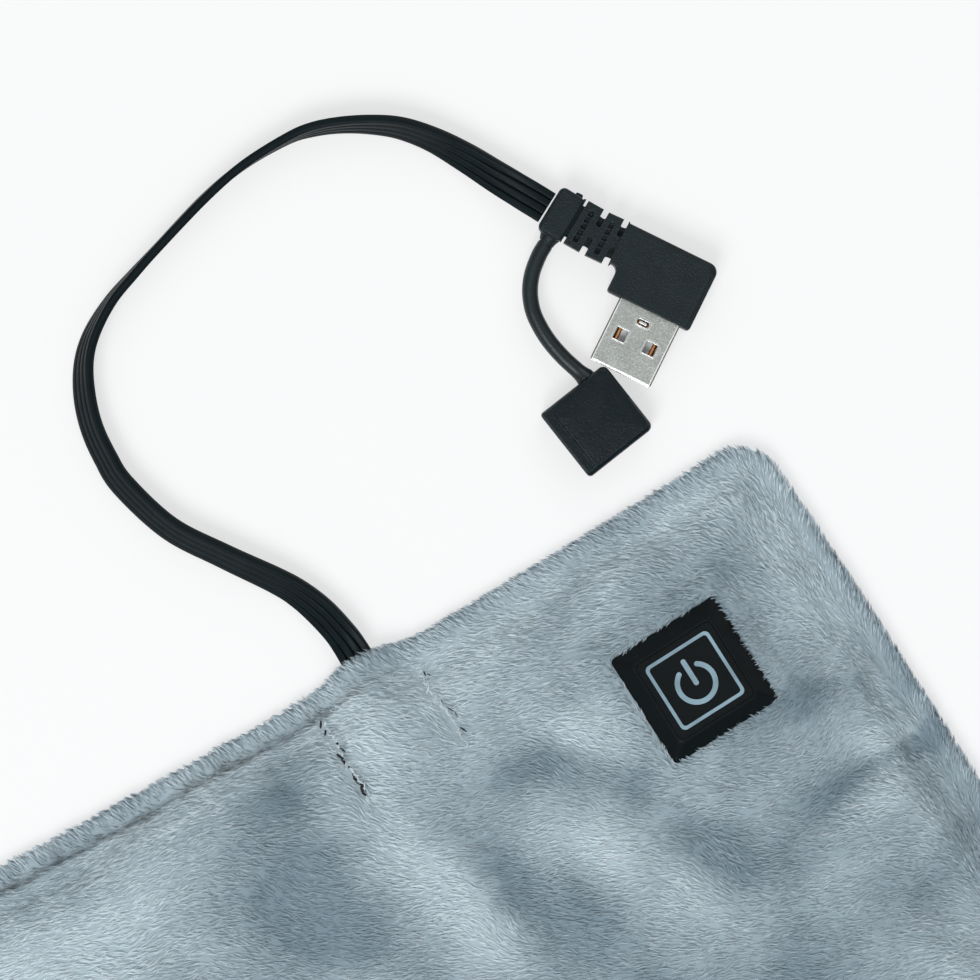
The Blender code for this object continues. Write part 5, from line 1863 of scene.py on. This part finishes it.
    def build_tacks(self) -> None:
        """The two bar-tacks: a tight zigzag of pale thread, with dark rods between for painted shade in the gaps."""
        chance = np.random.default_rng(11)
        for number, (x0, y0, x1, y1) in enumerate(self.tacks):
            pale, deep = [], []
            count = 19
            for k in range(count):
                way = (k + chance.normal(0, 0.3)) / (count - 1)
                x = x0 + (x1 - x0) * way + 0.00025 * math.sin(way * 9 + number * 2) + chance.normal(0, 0.00008)
                y = y0 + (y1 - y0) * way
                high = float(self.shape.top(np.array([x]), np.array([y]))[0]) + 0.0012
                width = 0.00055 * chance.uniform(0.3, 1.2)
                side = 1 if k % 2 else -1
                a = Vector((x - side * width, y + 0.0002, high))
                b = Vector((x + side * width * chance.uniform(0.3, 1), y - 0.0011 * chance.uniform(0.5, 1.2), high))
                pale.append((a, b, 0.0004, 0.00016 * chance.uniform(0.7, 1.15)))
                # Dark rods between the pale stitches: painted shade in the tack's gaps
                if chance.uniform() < (0.8, 0.35)[number]:
                    x += (-0.00025, 0.0004)[number] + chance.normal(0, 0.0004)
                    a = Vector((x, y + 0.0004 * chance.uniform(0.1, 1.5), high))
                    b = Vector((x + chance.normal(0, 0.0004), y - 0.0006 * chance.uniform(0.2, 2.4), high))
                    deep.append((a, b, 0.00026, (0.00026, 0.00015)[number] * chance.uniform(0.45, 1.15)))
            hand = ("left", "right")[number]
            self.stitches(f"tack_{hand}", f"bartack_{hand}", pale, THREAD)
            self.stitches(f"tack_gap_shade_{hand}", "", deep, TACK_GAP_SHADE)

    def nap_angle(self, x: Array, y: Array) -> Array:
        """Which way the pile lies at each place, in radians."""
        turn = 13 * SoftNoise(21, 0.040).at(x, y) + 12 * SoftNoise(22, 0.015).at(x, y)
        turn = turn + 9 * SoftNoise(23, 0.005).at(x, y) + 13 * SoftNoise(24, 0.0019).at(x, y)
        for swirl in self.swirls:
            turn = turn + patch(x, y, swirl)
        return np.radians(self.nap + turn)

    def nap_tone_and_light(self, x: Array, y: Array) -> Array:
        """The brushed pile's tone at each place, from 0 to 1: soft noise for its own tone, and the listed patches,
        partly its own tone and partly painted light and shade.
        """
        share = 0.30 * SoftNoise(51, 0.012).at(x, y) + 0.22 * SoftNoise(52, 0.0048).at(x, y)
        seen = np.clip((y - 0.045) / 0.02, 0, 1) * np.clip((x + 0.070) / 0.02, 0, 1)
        share = share + (1 - seen) * (0.55 * SoftNoise(53, 0.026).at(x, y) + 0.3 * SoftNoise(54, 0.015).at(x, y))
        for nap_tone_and_light in self.nap_tone_and_light_patches:
            share = share + patch(x, y, nap_tone_and_light)
        return np.clip(0.5 + 0.5 * share, 0, 1)

    def roots(self, cover: Item, count: int, chance: np.random.Generator) -> tuple[Array, Array, float]:
        """Places for tufts, spread evenly over the cover's outer cloth.

        Args:
            cover: The cover.
            count: How many tufts.
            chance: The source of chance.

        Returns:
            The places, the cloth's normals there, and the outer cloth's area.
        """
        mesh = cover.data
        mesh.calc_loop_triangles()
        triangles = read_rows(mesh.loop_triangles, "vertices", int)
        points, normals = (read_rows(mesh.vertices, name) for name in ("co", "normal"))
        a, b, c = (points[triangles[:, k]] for k in range(3))
        cross = np.cross(b - a, c - a)
        area = np.linalg.norm(cross, axis=1) / 2
        middle = (a + b + c) / 3
        facing = cross[:, 2] / np.maximum(2 * area, 1e-12)
        inset = self.shape.inset(middle[:, 0], middle[:, 1])
        area = np.where((facing < -0.35) & (inset > 0.0018), 0, area)
        area = np.where(middle[:, 2] < 0.0005, 0, area)
        picked = np.searchsorted(np.cumsum(area) / area.sum(), chance.uniform(size=count))
        u, v = chance.uniform(size=count), chance.uniform(size=count)
        flip = u + v > 1
        u, v = np.where(flip, 1 - u, u)[:, None], np.where(flip, 1 - v, v)[:, None]
        corners = triangles[picked]
        shares = (1 - u - v, u, v)
        place, normal = (sum(rows[corners[:, k]] * shares[k] for k in range(3)) for rows in (points, normals))
        return place, normal / np.linalg.norm(normal, axis=1, keepdims=True), float(area.sum())

    def length_share(self, x: Array, y: Array) -> Array:
        """How long the pile is at each place, as a share: short at the bar-tacks, the seam and the outer edge."""
        share = 1 + 0.10 * SoftNoise(31, 0.006).at(x, y)
        for tack in self.tacks:
            share = share * (1 - 0.72 * np.exp(-((from_line(x, y, tack) / 0.0010) ** 2)))
        inset = self.shape.inset(x, y)
        groove = np.exp(-(((inset - self.shape.seam_inset) / 0.0005) ** 2))
        share = share * (1 - 0.3 * self.shape.crease(x, y) * groove)
        short = np.where(x > 0.082, 0.15, 0.32)
        return share * (1 - short * np.clip(1 - inset / 0.0030, 0, 1))

    def ruffle(self, x: Array, y: Array) -> Array:
        """How ruffled the pile is at the edge: most to the left of the cable, and little down the right side."""
        return np.where(x > 0.082, 0.35, np.interp(x, (-0.004, 0.016), (1.0, 0.5)))

    def teeth(self, x: Array, y: Array) -> tuple[Array, Array]:
        """Gathers the pile at the pad's edge into points.

        Args:
            x: Each tuft's place.
            y: Each tuft's place.

        Returns:
            How far each tuft's tip moves along the edge, and how long the tuft is, as a share.
        """
        out = self.shape.outward(x, y)
        tangent = np.column_stack([-out[:, 1], out[:, 0], out[:, 2]])
        pitch = np.where(x > 0.085, self.tooth_pitch[1], self.tooth_pitch[0])
        phase = (x * tangent[:, 0] + y * tangent[:, 1]) / pitch + 0.35 * SoftNoise(32, 0.004).at(x, y)
        cell = np.floor(phase)
        off = phase - cell - 0.5
        own = np.random.default_rng(36).uniform(-1, 1, 512)[cell.astype(int) % 512]
        edge = np.clip((0.0028 - self.shape.inset(x, y)) / 0.0012, 0, 1)
        edge = edge * self.ruffle(x, y)
        long = 1 + edge * (0.2 * own + 0.1 - 0.6 * np.abs(off))
        return tangent * (-0.5 * off * pitch * edge)[:, None], long

    def build_pile(self, cover: Item) -> None:
        """The pile: tufts of tapered blades that lean with the nap, in pieces of bounded size."""
        chance = np.random.default_rng(7)
        area = self.roots(cover, 1, chance)[2]
        place, normal, _ = self.roots(cover, int(area * self.density / self.blades_per_tuft), chance)
        away = self.shape.from_controller(place[:, 0], place[:, 1])
        keep = away > Controller.half + 0.0001
        place, normal, away = place[keep], normal[keep], away[keep]
        order = np.argsort(place[:, 1] // 0.0325 * 10 + (place[:, 0] > 0), kind="stable")
        place, normal, away = place[order], normal[order], away[order]
        x, y = place[:, 0], place[:, 1]
        angle = self.nap_angle(x, y) + chance.normal(0, 0.17, len(place))
        flat = np.column_stack([np.cos(angle), np.sin(angle), np.zeros(len(place))])
        edge = np.clip((0.0050 - self.shape.inset(x, y)) / 0.0016, 0, 1)
        edge = edge * (0.45 + 0.55 * self.ruffle(x, y))
        flat = flat * (1 - 0.6 * edge)[:, None] + self.shape.outward(x, y) * 0.9 * edge[:, None]
        pull, reach = self.teeth(x, y)
        hug = 0.9 * np.exp(-(((away - Controller.half) / 0.0011) ** 2))[:, None]
        flat = flat + downhill(self.shape.from_controller, x, y, 0.0001) * hug
        tip = flat - normal * (flat * normal).sum(1, keepdims=True)
        tip = tip / np.maximum(np.linalg.norm(tip, axis=1, keepdims=True), 1e-9)
        lean = np.radians(69 + 5 * SoftNoise(41, 0.005).at(x, y))
        lean = lean - np.radians(30) * np.exp(-(((away - Controller.half) / 0.0014) ** 2))
        lean = lean - np.radians(22) * np.clip(1.1 - normal[:, 2], 0, 1) * edge
        long = self.blade_length * self.length_share(x, y) * reach * chance.uniform(0.85, 1.15, len(place))
        n = self.blades_per_tuft
        place, normal, tip, pull = (np.repeat(values, n, 0) for values in (place, normal, tip, pull))
        lean, long = np.repeat(lean, n), np.repeat(long, n) * chance.uniform(0.75, 1.12, len(lean) * n)
        lean = (lean + chance.normal(0, 0.09, len(lean)))[:, None]
        across = np.cross(tip, normal)
        off = chance.normal(0, self.tuft_radius, (len(place), 2))
        round_up = self.tuft_crown * np.exp(-((off[:, :1] / self.tuft_radius) ** 2))
        base = place + across * off[:, :1] + tip * off[:, 1:] * 1.6 + normal * (round_up - 0.00012)
        twist = chance.normal(0, 0.2, len(place))[:, None] - 0.55 * off[:, :1] / self.tuft_radius
        rows = []
        for share, width in ((0.0, 1.0), (0.55, 0.8), (1.0, 0.0)):
            up = np.cos(lean) * share * (1 - 0.3 * share)
            forth = np.sin(lean) * share**1.15
            centre = base + (normal * up + tip * forth) * long[:, None]
            centre = centre + pull * share - across * off[:, :1] * 0.65 * share
            side = (across * np.cos(twist) + normal * np.sin(twist) * 0.8) * self.blade_width / 2 * width
            rows += [centre - side, centre + side] if width else [centre]
        points = np.stack(rows, 1)
        points[:, :, 2] = np.maximum(points[:, :, 2], 0.00008)
        own = np.repeat(chance.normal(0, 0.06, len(place) // n), n)
        nap_tone_and_light = np.clip(self.nap_tone_and_light(place[:, 0], place[:, 1]) + own, 0, 1)
        # Painted shade along each blade: dark at the root, a little lighter than its tone at the tip, and darker in
        # the seam's crease
        shade = np.array([PILE.root, PILE.root, 0.97, 0.97, 1.1]) * (1 - PILE.seam * self.crease_shade(place))[:, None]
        for number, start in enumerate(range(0, len(points), self.blades_per_piece)):
            part = slice(start, start + self.blades_per_piece)
            self.blade_piece(f"pile_{number + 1}", points[part], nap_tone_and_light[part], shade[part])
        log.info("pile: %d blades on %.0f square mm", len(points), area * 1e6)

    @staticmethod
    def store_tone_and_shade(mesh: bpy.types.Mesh, nap_tone_and_light: Array, shade: Array) -> None:
        """Stores each of a mesh's points' tone, with its painted light and shade, and the painted shade that says how
        much of that tone it keeps.
        """
        for name, values in (("shade", shade), ("nap_tone_and_light", nap_tone_and_light)):
            layer = mesh.attributes.new(name, "FLOAT", "POINT")
            layer.data.foreach_set("value", values.astype(np.float32).ravel())

    def crease_shade(self, place: Array) -> Array:
        """How deep in the seam's crease each blade's root lies, from 0 to 1: the painted shade that the crease gives
        it.
        """
        x, y = place[:, 0], place[:, 1]
        wave = 0.0005 * SoftNoise(33, 0.0045).at(x, y) + 0.0004 * SoftNoise(35, 0.0013).at(x, y)
        off = self.shape.inset(x, y) - self.shape.seam_inset + wave
        wide = 0.45 * np.exp(-((off / 0.0011) ** 2))
        deep = 0.7 * np.exp(-((off / 0.0005) ** 2)) * np.clip(0.25 + 1.6 * SoftNoise(34, 0.0007).at(x, y), 0, 1)
        return (wide + deep) * self.shape.crease(x, y)

    def blade_piece(self, name: str, points: Array, nap_tone_and_light: Array, shade: Array) -> None:
        """One piece of the pile.

        Args:
            name: The piece's name.
            points: Five places for each blade: two pairs from the root up, and the tip.
            nap_tone_and_light: The brushed nap's tone at each blade's place, with its painted light and shade.
            shade: The painted shade at each of a blade's places: how much of its tone it keeps, dark at the root and
                a little above its tone at the tip.
        """
        count = len(points)
        loops = np.array([0, 1, 3, 2, 2, 3, 4])
        mesh = bpy.data.meshes.new(name)
        mesh.vertices.add(count * 5)
        mesh.vertices.foreach_set("co", points.astype(np.float32).ravel())
        mesh.loops.add(count * 7)
        corners = (np.arange(count)[:, None] * 5 + loops).ravel()
        mesh.loops.foreach_set("vertex_index", corners.astype(np.int32))
        mesh.polygons.add(count * 2)
        starts = (np.arange(count)[:, None] * 7 + np.array([0, 4])).ravel()
        mesh.polygons.foreach_set("loop_start", starts.astype(np.int32))
        mesh.update(calc_edges=True)
        self.store_tone_and_shade(mesh, np.repeat(nap_tone_and_light, 5), shade)
        side = math.ceil(math.sqrt(count))
        cell = np.stack([np.arange(count) % side, np.arange(count) // side], 1) / side
        local = np.array([[0.08, 0.08], [0.92, 0.08], [0.14, 0.5], [0.86, 0.5], [0.5, 0.92]])
        spots = cell[:, None, :] + local[None, loops, :] / side
        mesh.uv_layers.new(name="OFBake").data.foreach_set("uv", spots.astype(np.float32).ravel())
        piece = put(name, mesh)
        mesh.materials.append(PILE.material())
        mesh.shade_smooth()
        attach(piece, Body.PAD.value)


# The whole


class PackedParts:
    """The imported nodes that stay: what lies inside, the controller and its printed marks."""

    def dress(self) -> None:
        """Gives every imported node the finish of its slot."""
        for part in frame["record"]["subparts"]:
            item = bpy.data.objects.get(part["node"])
            if item is None:
                continue
            made = FINISHES[part["material_slot"]].material()
            for slot in item.material_slots:
                slot.link = "OBJECT"
                slot.material = made
        log.info("finishes given to the packed nodes")


def main() -> None:
    """Builds the object, piece by piece, and the studio round it."""
    logging.basicConfig(level=logging.INFO, format="%(name)s: %(message)s")
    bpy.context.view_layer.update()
    Studio().build()
    PackedParts().dress()
    carried = Plug().build() + Cap().build()
    Ribbon().build([*carried, "usb_tongue"])
    Controller().build()
    PlushPad(PadShape()).build()


if __name__ == "__main__":
    main()
